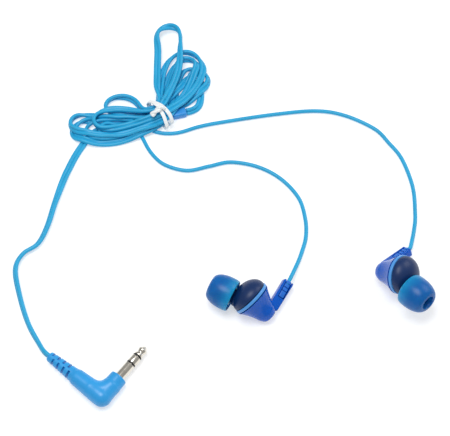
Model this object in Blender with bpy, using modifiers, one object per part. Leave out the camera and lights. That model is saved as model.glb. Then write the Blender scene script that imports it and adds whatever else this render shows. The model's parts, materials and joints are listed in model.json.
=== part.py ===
"""Wired in-ear earphones lying on a table, with the spare cord tied into a two-lobed hank.

Metres, +Z up. The origin is on the table, under the middle of the two earpieces.
Each earpiece is modelled in its own frame: its centre is the middle of the accent ring,
+Z points out of the front, +X is the way the cord stem leans, and the left and right
earpieces mirror each other in Y.
"""

import math

import bmesh
import bpy
import numpy as np
from mathutils import Matrix, Vector

MM = 0.001

# Fits and mesh fineness
GAP = 0.3 * MM
FINE_GAP = 0.1 * MM
MERGE = 1e-6
OUTER_STEPS = 28
PLUG_STEPS = 24
INNER_STEPS = 20

# Housing, along the earpiece axis from the middle of the accent ring
RING_RADIUS = 6.95 * MM
RING_WIDTH = 1.1 * MM
DOME_RADIUS = 6.75 * MM
DOME_BASE = RING_WIDTH / 2 + GAP
DOME_DEPTH = 5.0 * MM
WALL = 0.9 * MM
LIP_RADIUS = 5.45 * MM
LIP_BORE = 4.85 * MM
LIP_END = -1.1 * MM
COVER_LENGTH = 8.9 * MM
COVER_END_RADIUS = 2.7 * MM
COVER_WAIST = 0.35 * MM
COVER_ROUND = 0.9 * MM
COVER_RIM_ROUND = 0.3 * COVER_ROUND
COVER_FLOOR = 1.3 * MM
COVER_STEPS = 6

# Nozzle and silicone tip, along the nozzle axis
NOZZLE_ROOT = (-2.4 * MM, 0.9 * MM, 0.2 * MM)
NOZZLE_TILT = (-0.19, 0.37, 0.91)
NOZZLE_RADIUS = 2.3 * MM
NOZZLE_BORE = 1.6 * MM
NOZZLE_END = 10.2 * MM
NOZZLE_FOOT = 2.0 * MM
BARB_RADIUS = 2.45 * MM
BARB_TOP = NOZZLE_END - 0.4 * MM
BARB_BASE = NOZZLE_END - 1.1 * MM
BARB_FOOT = NOZZLE_END - 1.4 * MM
MESH_TOP = NOZZLE_END - 0.6 * MM
MESH_THICKNESS = 0.3 * MM
TIP_REAR = 5.0 * MM
TIP_LENGTH = 9.1 * MM
TIP_RADIUS = 5.95 * MM
TIP_FACE_RADIUS = 3.05 * MM
TIP_SKIRT = 0.6 * MM
TIP_WIDEST_SHARE = 0.33
TIP_BRIDGE = 3.4 * MM
TIP_BRIDGE_TAPER = 0.8 * MM
TIP_SLEEVE_BORE = BARB_RADIUS + 0.25 * MM
TIP_SLEEVE_WALL = 0.65 * MM
TIP_SLEEVE_REAR = TIP_REAR + 0.2 * MM
TIP_MOUTH = 2.45 * MM
TIP_THROAT = 1.85 * MM
TIP_SEAT = NOZZLE_END + 0.4 * MM
TIP_THROAT_START = NOZZLE_END + 0.7 * MM

# Cord stem on the rear cover
STEM_TOP = (14.3 * MM, -6.4 * MM)
STEM_ROOT = (2.5 * MM, -8.6 * MM)
STEM_WIDTH = 3.9 * MM
STEM_ROOT_WIDTH = 4.6 * MM
STEM_DEPTH = 3.1 * MM
STEM_ROUND = 0.5 * MM
SLOT_WIDTH = 2.6 * MM
SLOT_LENGTH = 7.2 * MM
SLOT_FLOOR = -0.85 * MM
BUSHING_OFFSET = 0.45 * MM
BUSHING_ROUND = 0.35 * MM
PASSAGE_RADIUS = 1.0 * MM

# 9 mm dynamic driver
FRAME_RADIUS = 4.6 * MM
YOKE_RADIUS = 3.4 * MM
YOKE_WALL = 0.35 * MM
MAGNET_RADIUS = 2.3 * MM
COIL_RADIUS = 2.82 * MM
COIL_WALL = 0.2 * MM
COIL_SPAN = (-0.6 * MM, 1.4 * MM)
FRAME_SPAN = (-1.2 * MM, DOME_BASE + 0.4 * MM)
YOKE_SPAN = (-2.6 * MM, 0.9 * MM)
YOKE_FLOOR = 0.5 * MM
MAGNET_TOP = -0.3 * MM
POLE_PLATE_THICKNESS = 0.6 * MM
DAMPER_SPAN = (-1.9 * MM, -1.5 * MM)
BOARD_RADIUS = 3.2 * MM
BOARD_SPAN = (-3.7 * MM, -3.1 * MM)
DIAPHRAGM_RADIUS = 4.3 * MM
DIAPHRAGM_THICKNESS = 0.2 * MM
DIAPHRAGM_REST = DOME_BASE + 0.9 * MM
DIAPHRAGM_CROWN = [(0, 0.7), (1.2, 0.5), (2.2, 0.1), (2.7, 0.0), (3.2, 0.25), (3.7, 0.3)]

# Cords
LEAD_RADIUS = 0.75 * MM
LEAD_STRAIGHT = 1.4 * MM
CORD_RADIUS = 1.05 * MM
INNER_LEAD_RADIUS = 0.45 * MM
FLEX_GAP = 0.6 * MM
ROUTE_STEP = 3.2 * MM

# Right-angle 3.5 mm plug, lying on its elbow, its strain relief and the jack's end
PLUG_CORNER = (-74.4 * MM, -42.1 * MM)
PLUG_HEADING = math.radians(52)
PLUG_DIP = 0.03
PLUG_RADIUS = 3.5 * MM
PLUG_LIFT = 0.1 * MM
JACK_ARM = 8.9 * MM
JACK_ARM_RADIUS = 3.1 * MM
SHOULDER_ROUND = 0.4 * MM
CORD_ARM = 12.3 * MM
RELIEF_LENGTH = 11.7 * MM
RELIEF_RADII = (2.55 * MM, 1.8 * MM)
RELIEF_SLOTS = 4
RELIEF_SLOT_SHARE = 0.42
RELIEF_SPINE = 0.9 * MM

# The jack's turned parts: radius and distance out from the plug's shoulder, in millimetres
SOCKET_PROFILE = [(0, 1), (1.95, 1), (1.95, -0.9), (2.45, -0.9), (2.45, -5.5), (0, -5.5)]
SLEEVE_PROFILE = [
    (1.75, 5.8), (1.75, -1.2), (2.15, -1.2), (2.15, -2.1), (1.4, -2.1), (1.4, 5.8),
]
RING_PROFILE = [
    (1.75, 9.2), (1.75, 6.4), (1.1, 6.4), (1.1, -3.5), (0.75, -3.5), (0.75, 9.2),
]
TIP_PROFILE = [
    (0, 14), (0.55, 13.9), (1.6, 12.5), (1.6, 12.1), (1.15, 11.1), (1.6, 10.4), (1.6, 9.8),
    (0.5, 9.8), (0.5, -4.8), (0, -4.8),
]
INSULATOR_RADIUS = 1.68 * MM
INSULATORS = {
    "jack_insulator_rear": (1.2 * MM, 5.9 * MM, 6.3 * MM),
    "jack_insulator_front": (0.6 * MM, 9.3 * MM, 9.7 * MM),
}
CORE_RADII = (2.15 * MM, 1.4 * MM)
CORE_SPAN = (-5.2 * MM, -2.4 * MM)

# Where the earpieces lie: ring centre, axis out of the front, and the stem's way
EARPIECES = {
    "left": {
        "hand": 1,
        "centre": (-23.7 * MM, -7.3 * MM, 6.77 * MM),
        "front": (-0.700, 0.557, 0.443),
        "stem": (0.613, 0.790, -0.021),
    },
    "right": {
        "hand": -1,
        "centre": (28.9 * MM, 0.4 * MM, 9.56 * MM),
        "front": (0.709, -0.425, 0.562),
        "stem": (0.641, 0.721, -0.265),
    },
}

# The hank's waist, where the tie holds it
WAIST_CENTRE = (-58.2 * MM, 71.5 * MM, 4.2 * MM)
WAIST_HEADING = math.radians(43)
WAIST_HALF_WIDTH = 5.6 * MM
WAIST_HALF_HEIGHT = 3.1 * MM
WAIST_LENGTH = 3.6 * MM
HANK_HEIGHT = 6.0 * MM
TIE_THICKNESS = 0.6 * MM
TIE_WIDTH = 3.0 * MM
TIE_TAIL = 7.0 * MM
TIE_TAIL_RADIUS = 0.5 * MM

# Each lobe of the hank from the waist outwards: x, y and half its width, in millimetres
HANK_LOBES = {
    "hank_left": [
        (-59.85, 69.95, 5.4),
        (-61.7, 68.3, 5.6),
        (-66.5, 67.8, 7.4),
        (-73.5, 69.6, 9.8),
        (-81.0, 69.2, 9.6),
        (-87.0, 66.3, 7.2),
    ],
    "hank_right": [
        (-57.0, 74.9, 2.3),
        (-56.2, 76.8, 2.5),
        (-54.7, 79.3, 3.4),
        (-51.7, 83.0, 5.8),
        (-49.4, 87.5, 7.5),
        (-48.4, 91.0, 7.8),
        (-47.8, 94.6, 6.8),
    ],
}

# Y-splitter: a rounded block on the table beside the waist
SPLITTER_CENTRE = (-50.9 * MM, 73.2 * MM)
SPLITTER_HEADING = math.radians(14)
SPLITTER_SIZE = (6.0 * MM, 3.5 * MM, 3.0 * MM)
SPLITTER_ROUND = 0.7 * MM

# Cord routes, in millimetres. Each lead's route starts where it flexes, past its stem.
LEAD_ROUTES = {
    "left": [
        (-6.8, 8.3, 2.0),
        (-5.1, 13.0, 1.2),
        (-3.3, 19.5, 0.85),
        (-3.2, 27.0, 0.85),
        (-5.4, 36.0, 0.85),
        (-11.8, 44.2, 0.85),
        (-20.4, 49.5, 0.85),
        (-30.6, 51.6, 0.85),
        (-38.8, 49.8, 0.85),
        (-47.5, 47.9, 0.85),
        (-56.2, 50.7, 0.85),
        (-61.6, 56.4, 0.85),
        (-63.5, 61.0, 0.85),
    ],
    "right": [
        (36.7, 23.0, 0.95),
        (37.6, 29.5, 0.85),
        (37.6, 40.9, 0.85),
        (34.5, 53.0, 0.85),
        (30.0, 60.3, 0.85),
        (25.0, 66.6, 0.85),
        (14.0, 72.7, 0.85),
        (2.6, 74.9, 0.85),
        (-14.3, 73.2, 0.85),
        (-34.5, 69.6, 0.85),
        (-43.0, 67.6, 0.85),
        (-49.5, 65.3, 0.85),
        (-55.0, 64.6, 0.85),
    ],
}
CORD_ROUTE = [
    (-88.4, 57.9, 1.4),
    (-92.6, 47.3, 1.2),
    (-96.0, 34.7, 1.2),
    (-98.3, 23.8, 1.2),
    (-101.2, 16.6, 1.2),
    (-106.2, 12.6, 1.2),
    (-108.4, 6.5, 1.2),
    (-106.0, -3.8, 1.2),
    (-102.0, -14.6, 1.2),
    (-97.3, -22.6, 1.4),
]
TALL_LOOP_ROUTE = [
    (-60.6, 79.3, 2.4),
    (-61.2, 86.0, 1.8),
    (-61.1, 96.0, 1.2),
    (-60.7, 106.0, 1.2),
    (-58.9, 112.8, 1.2),
    (-56.0, 114.8, 1.2),
    (-53.0, 112.4, 1.2),
    (-51.1, 106.6, 1.4),
    (-50.0, 102.1, 2.0),
]
SPLITTER_CORD_ROUTE = [
    (-47.5, 74.05, 1.5),
    (-46.3, 74.5, 1.5),
    (-44.4, 76.6, 1.6),
    (-42.7, 79.6, 1.6),
]


# ---------------------------------------------------------------- helpers


def clear_scene():
    for obj in list(bpy.data.objects):
        bpy.data.objects.remove(obj, do_unlink=True)


def collection(name):
    group = bpy.data.collections.new(name)
    bpy.context.scene.collection.children.link(group)
    return group


def look(name, colour, roughness, metallic=0.0, alpha=1.0):
    """A Principled material with a linear colour."""
    material = bpy.data.materials.new(name)
    material.use_nodes = True
    shader = material.node_tree.nodes["Principled BSDF"]
    shader.inputs["Base Color"].default_value = (*colour, 1.0)
    shader.inputs["Roughness"].default_value = roughness
    shader.inputs["Metallic"].default_value = metallic
    shader.inputs["Alpha"].default_value = alpha
    return material


def add(name, data, parent, place=None, finish=None, group=None):
    """Link data as an object under parent, at the local matrix place."""
    obj = bpy.data.objects.new(name, data)
    (group or PARTS).objects.link(obj)
    obj.parent = parent
    obj.matrix_local = place or Matrix.Identity(4)
    if finish and data is not None:
        data.materials.append(finish)
    return obj


def axes_at(origin, z_axis, x_axis=None):
    """A frame at origin with its Z along z_axis and its X as near x_axis as it can be."""
    z = Vector(z_axis).normalized()
    x = Vector(x_axis) if x_axis is not None else z.orthogonal()
    x = (x - z * x.dot(z)).normalized()
    turn = Matrix((x, z.cross(x), z)).transposed()
    return Matrix.Translation(Vector(origin)) @ turn.to_4x4()


def as_cutter(obj):
    obj.hide_render = True
    obj.display_type = "WIRE"
    PARTS.objects.unlink(obj)
    CUTTERS.objects.link(obj)
    return obj


def combine(obj, other, operation):
    boolean = obj.modifiers.new(other.name, "BOOLEAN")
    boolean.object = as_cutter(other)
    boolean.operation = operation


def quarter_round(radius, top, base, points, inner=0.0):
    """Points down a quarter ellipse, from (inner, top) out to (radius, base)."""
    angles = [math.pi / 2 * i / (points - 1) for i in range(points)]
    return [
        (inner + (radius - inner) * math.sin(a), base + (top - base) * math.cos(a))
        for a in angles
    ]


def profile_mm(points):
    return [(radius * MM, height * MM) for radius, height in points]


def turned(name, profile, parent, place=None, finish=None, steps=OUTER_STEPS, ring=False):
    """A body turned about its own Z from (radius, height) points down its outer side."""
    mesh = bpy.data.meshes.new(name)
    points = [(radius, 0.0, height) for radius, height in profile]
    edges = [(i, i + 1) for i in range(len(points) - 1)]
    if ring:
        edges.append((len(points) - 1, 0))
    mesh.from_pydata(points, edges, [])
    obj = add(name, mesh, parent, place, finish)
    screw = obj.modifiers.new("turn", "SCREW")
    screw.steps = steps
    screw.render_steps = steps
    screw.use_merge_vertices = True
    screw.merge_threshold = MERGE
    screw.use_smooth_shade = True
    return obj


def tube_ring(name, outer, inner, low, high, parent, place=None, finish=None, steps=INNER_STEPS):
    """A plain ring of rectangular section."""
    profile = [(outer, high), (outer, low), (inner, low), (inner, high)]
    return turned(name, profile, parent, place, finish, steps, ring=True)


def disc(name, radius, low, high, parent, place=None, finish=None, steps=INNER_STEPS):
    profile = [(0.0, high), (radius, high), (radius, low), (0.0, low)]
    return turned(name, profile, parent, place, finish, steps)


def box(name, low, high, parent, place=None, finish=None, round_edge=0.0):
    """A box between two corners, with rounded edges if asked."""
    low = Vector(low)
    high = Vector(high)
    mesh = bpy.data.meshes.new(name)
    shape = bmesh.new()
    bmesh.ops.create_cube(shape, size=1.0)
    bmesh.ops.scale(shape, vec=high - low, verts=shape.verts)
    bmesh.ops.translate(shape, vec=(low + high) / 2, verts=shape.verts)
    shape.to_mesh(mesh)
    shape.free()
    obj = add(name, mesh, parent, place, finish)
    if round_edge:
        bevel = obj.modifiers.new("round edges", "BEVEL")
        bevel.width = round_edge
        bevel.segments = 2
        mesh.shade_smooth()
    return obj


def smooth_route(points, step):
    """Even points along a smooth curve through the route's own points."""
    knots = np.array(points, dtype=float)
    before = 2 * knots[0] - knots[1]
    after = 2 * knots[-1] - knots[-2]
    padded = np.vstack([before, knots, after])
    samples = []
    for p0, p1, p2, p3 in zip(padded, padded[1:], padded[2:], padded[3:]):
        for t in np.linspace(0, 1, 24, endpoint=False):
            samples.append(
                0.5
                * (
                    2 * p1
                    + (p2 - p0) * t
                    + (2 * p0 - 5 * p1 + 4 * p2 - p3) * t**2
                    + (3 * p1 - p0 - 3 * p2 + p3) * t**3
                )
            )
    samples.append(knots[-1])
    samples = np.array(samples)
    lengths = np.linalg.norm(np.diff(samples, axis=0), axis=1)
    run = np.concatenate([[0.0], np.cumsum(lengths)])
    count = max(3, round(run[-1] / step) + 1)
    stations = np.linspace(0, run[-1], count)
    return np.stack([np.interp(stations, run, samples[:, i]) for i in range(3)], axis=1)


def tube(name, points, radius, parent, place=None, finish=None):
    """A round tube with flat ends along points."""
    curve = bpy.data.curves.new(name, "CURVE")
    curve.dimensions = "3D"
    curve.bevel_depth = radius
    curve.bevel_resolution = 2
    curve.use_fill_caps = True
    spline = curve.splines.new("POLY")
    spline.points.add(len(points) - 1)
    for target, point in zip(spline.points, points):
        target.co = (*point, 1.0)
    spline.use_smooth = True
    return add(name, curve, parent, place, finish)


def slab(name, outlines, half_thickness, parent, place=None, finish=None):
    """A flat plate in its own XY plane; outlines after the first are holes in it."""
    curve = bpy.data.curves.new(name, "CURVE")
    curve.dimensions = "2D"
    curve.fill_mode = "BOTH"
    curve.extrude = half_thickness
    for outline in outlines:
        spline = curve.splines.new("POLY")
        spline.points.add(len(outline) - 1)
        for target, (x, y) in zip(spline.points, outline):
            target.co = (x, y, 0.0, 1.0)
        spline.use_cyclic_u = True
    return add(name, curve, parent, place, finish)


def as_mesh(obj):
    """Replace a curve object by a welded mesh object of the same name and place."""
    bpy.context.view_layer.update()
    evaluated = obj.evaluated_get(bpy.context.evaluated_depsgraph_get())
    mesh = bpy.data.meshes.new_from_object(evaluated)
    shape = bmesh.new()
    shape.from_mesh(mesh)
    bmesh.ops.remove_doubles(shape, verts=shape.verts, dist=MERGE)
    shape.to_mesh(mesh)
    shape.free()
    name = obj.name
    parent = obj.parent
    world = obj.matrix_world.copy()
    bpy.data.objects.remove(obj, do_unlink=True)
    made = add(name, mesh, parent)
    made.matrix_world = world
    return made


# ---------------------------------------------------------------- looks


def make_looks():
    return {
        "silicone": look("tip_silicone", (0.02, 0.17, 0.50), 0.35),
        "navy": look("navy_plastic", (0.02, 0.05, 0.14), 0.45),
        "accent": look("accent_plastic", (0.10, 0.38, 0.80), 0.30),
        "clear_blue": look("clear_blue_plastic", (0.01, 0.06, 0.55), 0.15, alpha=0.8),
        "bushing": look("bushing_plastic", (0.01, 0.16, 0.70), 0.35),
        "cord": look("cord_jacket", (0.03, 0.35, 0.78), 0.40),
        "plug": look("plug_plastic", (0.04, 0.38, 0.82), 0.30),
        "insulator": look("black_insulator", (0.01, 0.01, 0.01), 0.40),
        "nickel": look("nickel_contact", (0.70, 0.68, 0.62), 0.20, 1.0),
        "steel": look("plated_steel", (0.55, 0.55, 0.55), 0.30, 1.0),
        "magnet": look("sintered_magnet", (0.30, 0.30, 0.32), 0.35, 1.0),
        "copper": look("coil_copper", (0.70, 0.30, 0.12), 0.35, 1.0),
        "film": look("diaphragm_film", (0.60, 0.62, 0.60), 0.20, alpha=0.8),
        "frame": look("frame_plastic", (0.03, 0.03, 0.03), 0.50),
        "board": look("terminal_board", (0.02, 0.15, 0.05), 0.45),
        "felt": look("damper_felt", (0.65, 0.65, 0.60), 0.95),
        "mesh": look("wire_mesh", (0.35, 0.35, 0.36), 0.40, 1.0),
        "tie": look("tie_strip", (0.85, 0.86, 0.86), 0.40),
    }


# ---------------------------------------------------------------- earpiece


def cover_profile(inset, front, end):
    """The rear cover's slim cone from its front rim to its blunt end, inset by a wall."""
    start = -DOME_BASE
    slope = (RING_RADIUS - COVER_END_RADIUS) / COVER_LENGTH
    points = [(0.0, front), (RING_RADIUS - inset, front)]
    for i in range(1, COVER_STEPS + 1):
        share = i / COVER_STEPS
        depth = share * (start - COVER_ROUND - end)
        radius = RING_RADIUS - slope * depth - 4 * COVER_WAIST * share * (1 - share)
        points.append((radius - inset, start - depth))
    rim_radius = points[-1][0]
    points.append((rim_radius - COVER_RIM_ROUND, end + COVER_RIM_ROUND))
    points.append((rim_radius - COVER_ROUND, end))
    points.append((0.0, end))
    return points


def front_housing(side, earpiece, nozzle):
    """The domed front shell, with the lip that the other parts locate on and the nozzle."""
    dome = quarter_round(DOME_RADIUS, DOME_BASE + DOME_DEPTH, DOME_BASE, 8)
    shell = dome + [(LIP_RADIUS, DOME_BASE), (LIP_RADIUS, LIP_END), (0.0, LIP_END)]
    housing = turned(f"{side}_front_housing", shell, earpiece, finish=LOOKS["navy"])
    spout = [
        (0.0, NOZZLE_END),
        (NOZZLE_RADIUS, NOZZLE_END),
        (BARB_RADIUS, BARB_TOP),
        (BARB_RADIUS, BARB_BASE),
        (NOZZLE_RADIUS, BARB_FOOT),
        (NOZZLE_RADIUS, NOZZLE_FOOT),
        (0.0, NOZZLE_FOOT),
    ]
    combine(housing, turned(f"{side}_spout_add", spout, nozzle, steps=INNER_STEPS), "UNION")
    hollow = quarter_round(LIP_BORE, DOME_BASE + DOME_DEPTH - WALL, DOME_BASE + WALL, 6)
    hollow += [(LIP_BORE, 2 * LIP_END), (0.0, 2 * LIP_END)]
    combine(housing, turned(f"{side}_dome_cut", hollow, earpiece, steps=INNER_STEPS), "DIFFERENCE")
    bore_low = NOZZLE_FOOT - GAP
    bore = disc(f"{side}_bore_cut", NOZZLE_BORE, bore_low, NOZZLE_END + MM, nozzle)
    combine(housing, bore, "DIFFERENCE")


def nozzle_mesh(side, nozzle):
    """The wire mesh disc that closes the nozzle's bore."""
    radius = NOZZLE_BORE - 2 * FINE_GAP
    low = MESH_TOP - MESH_THICKNESS
    disc(f"{side}_nozzle_mesh", radius, low, MESH_TOP, nozzle, finish=LOOKS["mesh"])


def eartip(side, nozzle):
    """The silicone tip: an umbrella skirt joined at its front to a sleeve on the nozzle."""
    front = TIP_REAR + TIP_LENGTH
    widest = TIP_REAR + TIP_WIDEST_SHARE * TIP_LENGTH
    sleeve = TIP_SLEEVE_BORE + TIP_SLEEVE_WALL
    skirt = TIP_RADIUS - TIP_SKIRT
    bridge = widest + TIP_BRIDGE
    profile = quarter_round(TIP_RADIUS, front, widest, 8, inner=TIP_FACE_RADIUS)
    profile += [
        (TIP_RADIUS, TIP_REAR),
        (skirt, TIP_REAR),
        (skirt, widest),
        (skirt - TIP_BRIDGE_TAPER, bridge - GAP),
        (sleeve, bridge),
        (sleeve, TIP_SLEEVE_REAR),
        (TIP_SLEEVE_BORE, TIP_SLEEVE_REAR),
        (TIP_SLEEVE_BORE, TIP_SEAT),
        (TIP_THROAT, TIP_THROAT_START),
        (TIP_MOUTH, front),
    ]
    turned(f"{side}_eartip", profile, nozzle, finish=LOOKS["silicone"], ring=True)


def stem_axes(hand):
    """The cord stem's frame: origin at its top, Z out along it, X towards its open side."""
    top = Vector((STEM_TOP[0], 0.0, STEM_TOP[1]))
    root = Vector((STEM_ROOT[0], 0.0, STEM_ROOT[1]))
    return axes_at(top, top - root, (0.0, -hand, 0.0)), (top - root).length


def rear_cover(side, hand, earpiece):
    """The hollow rear cone with the slotted cord stem growing out of its blunt end."""
    end = -DOME_BASE - COVER_LENGTH
    outside = cover_profile(0.0, -DOME_BASE, end)
    cover = turned(f"{side}_rear_cover", outside, earpiece, finish=LOOKS["clear_blue"])
    stem_place, stem_length = stem_axes(hand)
    half_top = STEM_WIDTH / 2
    half_root = STEM_ROOT_WIDTH / 2
    side_view = [
        (-half_top, 0.0),
        (-half_root, -stem_length),
        (half_root - MM, -stem_length),
        (half_top, 0.0),
    ]
    # The plate's own XY plane is turned to hold the stem's width and length.
    flat = stem_place @ Matrix(((0, 0, 1, 0), (1, 0, 0, 0), (0, 1, 0, 0), (0, 0, 0, 1)))
    stem = as_mesh(slab(f"{side}_stem_add", [side_view], STEM_DEPTH / 2, earpiece, flat))
    bevel = stem.modifiers.new("round edges", "BEVEL")
    bevel.width = STEM_ROUND
    bevel.segments = 2
    combine(cover, stem, "UNION")
    hollow = cover_profile(WALL, 0.0, end + COVER_FLOOR)
    combine(cover, turned(f"{side}_cone_cut", hollow, earpiece, steps=INNER_STEPS), "DIFFERENCE")
    slot_low = (SLOT_FLOOR, -SLOT_WIDTH / 2, -SLOT_LENGTH)
    slot_high = (STEM_DEPTH, SLOT_WIDTH / 2, MM)
    combine(cover, box(f"{side}_slot_cut", slot_low, slot_high, earpiece, stem_place), "DIFFERENCE")
    passage = stem_place @ Matrix.Translation((BUSHING_OFFSET, 0.0, 0.0))
    top = -SLOT_LENGTH + MM
    hole = disc(f"{side}_passage_cut", PASSAGE_RADIUS, -stem_length, top, earpiece, passage)
    combine(cover, hole, "DIFFERENCE")


def stem_bushing(side, hand, earpiece):
    """The soft sleeve that grips the lead in the stem's slot."""
    place, _ = stem_axes(hand)
    low = (SLOT_FLOOR + GAP, -SLOT_WIDTH / 2 + GAP, -SLOT_LENGTH + GAP)
    high = (STEM_DEPTH / 2 - FINE_GAP, SLOT_WIDTH / 2 - GAP, 0.0)
    box(f"{side}_stem_bushing", low, high, earpiece, place, LOOKS["bushing"], BUSHING_ROUND)


def driver(side, earpiece, moving):
    """The 9 mm driver: plastic frame, steel yoke, magnet, pole plate, coil and diaphragm."""
    tube_ring(
        f"{side}_driver_frame", FRAME_RADIUS, YOKE_RADIUS + GAP, *FRAME_SPAN, earpiece,
        finish=LOOKS["frame"],
    )
    base, brim = YOKE_SPAN
    yoke_bore = YOKE_RADIUS - YOKE_WALL
    yoke_floor = base + YOKE_FLOOR
    inside = [(0.0, yoke_floor), (yoke_bore, yoke_floor), (yoke_bore, brim)]
    yoke = inside + [(YOKE_RADIUS, brim), (YOKE_RADIUS, base), (0.0, base)]
    turned(f"{side}_driver_yoke", yoke, earpiece, finish=LOOKS["steel"], steps=INNER_STEPS)
    magnet_low = yoke_floor + 2 * FINE_GAP
    disc(
        f"{side}_driver_magnet", MAGNET_RADIUS, magnet_low, MAGNET_TOP, earpiece,
        finish=LOOKS["magnet"],
    )
    plate_low = MAGNET_TOP + 2 * FINE_GAP
    disc(
        f"{side}_pole_plate", MAGNET_RADIUS + FINE_GAP, plate_low,
        plate_low + POLE_PLATE_THICKNESS, earpiece, finish=LOOKS["steel"],
    )
    tube_ring(
        f"{side}_voice_coil", COIL_RADIUS, COIL_RADIUS - COIL_WALL, *COIL_SPAN, moving,
        finish=LOOKS["copper"],
    )
    diaphragm(side, moving)


def diaphragm(side, moving):
    """The thin film: a centre dome, a trough over the coil and a rolled surround."""
    crown = profile_mm(DIAPHRAGM_CROWN)
    upper = [(radius, DIAPHRAGM_REST + height) for radius, height in crown]
    upper.append((DIAPHRAGM_RADIUS, DIAPHRAGM_REST))
    lower = [(radius, height - DIAPHRAGM_THICKNESS) for radius, height in reversed(upper)]
    turned(
        f"{side}_diaphragm", upper + lower, moving, finish=LOOKS["film"], steps=INNER_STEPS
    )


def rear_chamber(side, hand, earpiece):
    """What sits behind the driver: vent damper, terminal board and the inner lead."""
    tube_ring(
        f"{side}_vent_damper", FRAME_RADIUS - FINE_GAP, YOKE_RADIUS + 2 * GAP, *DAMPER_SPAN,
        earpiece, finish=LOOKS["felt"],
    )
    disc(f"{side}_terminal_board", BOARD_RADIUS, *BOARD_SPAN, earpiece, finish=LOOKS["board"])
    place, _ = stem_axes(hand)
    foot = place @ Vector((BUSHING_OFFSET, 0.0, -SLOT_LENGTH))
    approach = place @ Vector((BUSHING_OFFSET, 0.0, -SLOT_LENGTH - 3 * MM))
    solder = BOARD_SPAN[0] - GAP
    route = [
        (0.0, 0.0, solder),
        (0.1 * MM, 0.0, solder - 1.3 * MM),
        (0.3 * approach.x, 0.5 * approach.y, 0.9 * approach.z),
        approach,
        foot,
    ]
    points = smooth_route(route, 1.1 * MM)
    tube(f"{side}_inner_lead", points, INNER_LEAD_RADIUS, earpiece, finish=LOOKS["cord"])


def make_earpiece(side, spec):
    """One earpiece, hung from the empty on its lead's flex axis."""
    hand = spec["hand"]
    world = axes_at(spec["centre"], spec["front"], spec["stem"])
    flex_place = Matrix.Translation(lead_flex(side)[0])
    flex = add(f"{side}_lead_flex_axis", None, None, flex_place)
    earpiece = add(f"{side}_earpiece_axis", None, flex, flex_place.inverted() @ world)
    root = (NOZZLE_ROOT[0], hand * NOZZLE_ROOT[1], NOZZLE_ROOT[2])
    tilt = (NOZZLE_TILT[0], hand * NOZZLE_TILT[1], NOZZLE_TILT[2])
    nozzle = add(f"{side}_nozzle_axis", None, earpiece, axes_at(root, tilt))
    moving = add(f"{side}_driver_axis", None, earpiece)
    half_ring = RING_WIDTH / 2
    tube_ring(
        f"{side}_accent_ring", RING_RADIUS, LIP_RADIUS + GAP, -half_ring, half_ring, earpiece,
        finish=LOOKS["accent"], steps=OUTER_STEPS,
    )
    front_housing(side, earpiece, nozzle)
    nozzle_mesh(side, nozzle)
    eartip(side, nozzle)
    rear_cover(side, hand, earpiece)
    stem_bushing(side, hand, earpiece)
    driver(side, earpiece, moving)
    rear_chamber(side, hand, earpiece)
    stem, _ = stem_axes(hand)
    return flex, world @ stem


# ---------------------------------------------------------------- plug


def relief_slots(parent):
    """Staggered slots that let the strain relief bend, as one cutter."""
    mesh = bpy.data.meshes.new("relief_slots_cut")
    shape = bmesh.new()
    pitch = 0.82 * RELIEF_LENGTH / RELIEF_SLOTS
    slot = Vector((PLUG_RADIUS, 2 * PLUG_RADIUS, RELIEF_SLOT_SHARE * pitch))
    for side in (-1, 1):
        for i in range(RELIEF_SLOTS):
            along = CORD_ARM + (0.75 + i + 0.25 * (side + 1)) * pitch
            made = bmesh.ops.create_cube(shape, size=1.0)["verts"]
            bmesh.ops.scale(shape, vec=slot, verts=made)
            centre = Vector((side * (RELIEF_SPINE + slot.x / 2), 0.0, along))
            bmesh.ops.translate(shape, vec=centre, verts=made)
    shape.to_mesh(mesh)
    shape.free()
    return add("relief_slots_cut", mesh, parent)


def plug_body(cord_arm, jack_arm):
    """The right-angle overmould with its slotted strain relief and the jack's socket."""
    start, end = RELIEF_RADII
    arm = [
        (0.0, CORD_ARM + RELIEF_LENGTH),
        (end, CORD_ARM + RELIEF_LENGTH),
        (start, CORD_ARM),
        (0.91 * PLUG_RADIUS, 0.55 * CORD_ARM),
        (PLUG_RADIUS, 0.16 * CORD_ARM),
    ]
    elbow = quarter_round(PLUG_RADIUS, -PLUG_RADIUS, 0.0, 5)
    arm += list(reversed(elbow))
    body = turned("plug_body", arm, cord_arm, finish=LOOKS["plug"], steps=PLUG_STEPS)
    shoulder = [
        (0.0, 0.0),
        (JACK_ARM_RADIUS - SHOULDER_ROUND, 0.0),
        (JACK_ARM_RADIUS, -SHOULDER_ROUND),
        (0.96 * PLUG_RADIUS, -JACK_ARM),
        (0.0, -JACK_ARM),
    ]
    combine(body, turned("jack_arm_add", shoulder, jack_arm, steps=PLUG_STEPS), "UNION")
    socket = profile_mm(SOCKET_PROFILE)
    combine(body, turned("jack_socket_cut", socket, jack_arm, steps=INNER_STEPS), "DIFFERENCE")
    combine(body, relief_slots(cord_arm), "DIFFERENCE")


def jack(jack_arm):
    """The coaxial jack: sleeve, ring and tip contacts, two insulators and the inner core."""
    for name, profile, ring in (
        ("jack_sleeve", SLEEVE_PROFILE, True),
        ("jack_ring", RING_PROFILE, True),
        ("jack_tip", TIP_PROFILE, False),
    ):
        points = profile_mm(profile)
        turned(name, points, jack_arm, finish=LOOKS["nickel"], steps=INNER_STEPS, ring=ring)
    for name, (hole, low, high) in INSULATORS.items():
        tube_ring(name, INSULATOR_RADIUS, hole, low, high, jack_arm, finish=LOOKS["insulator"])
    tube_ring("jack_core", *CORE_RADII, *CORE_SPAN, jack_arm, finish=LOOKS["insulator"])


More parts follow.
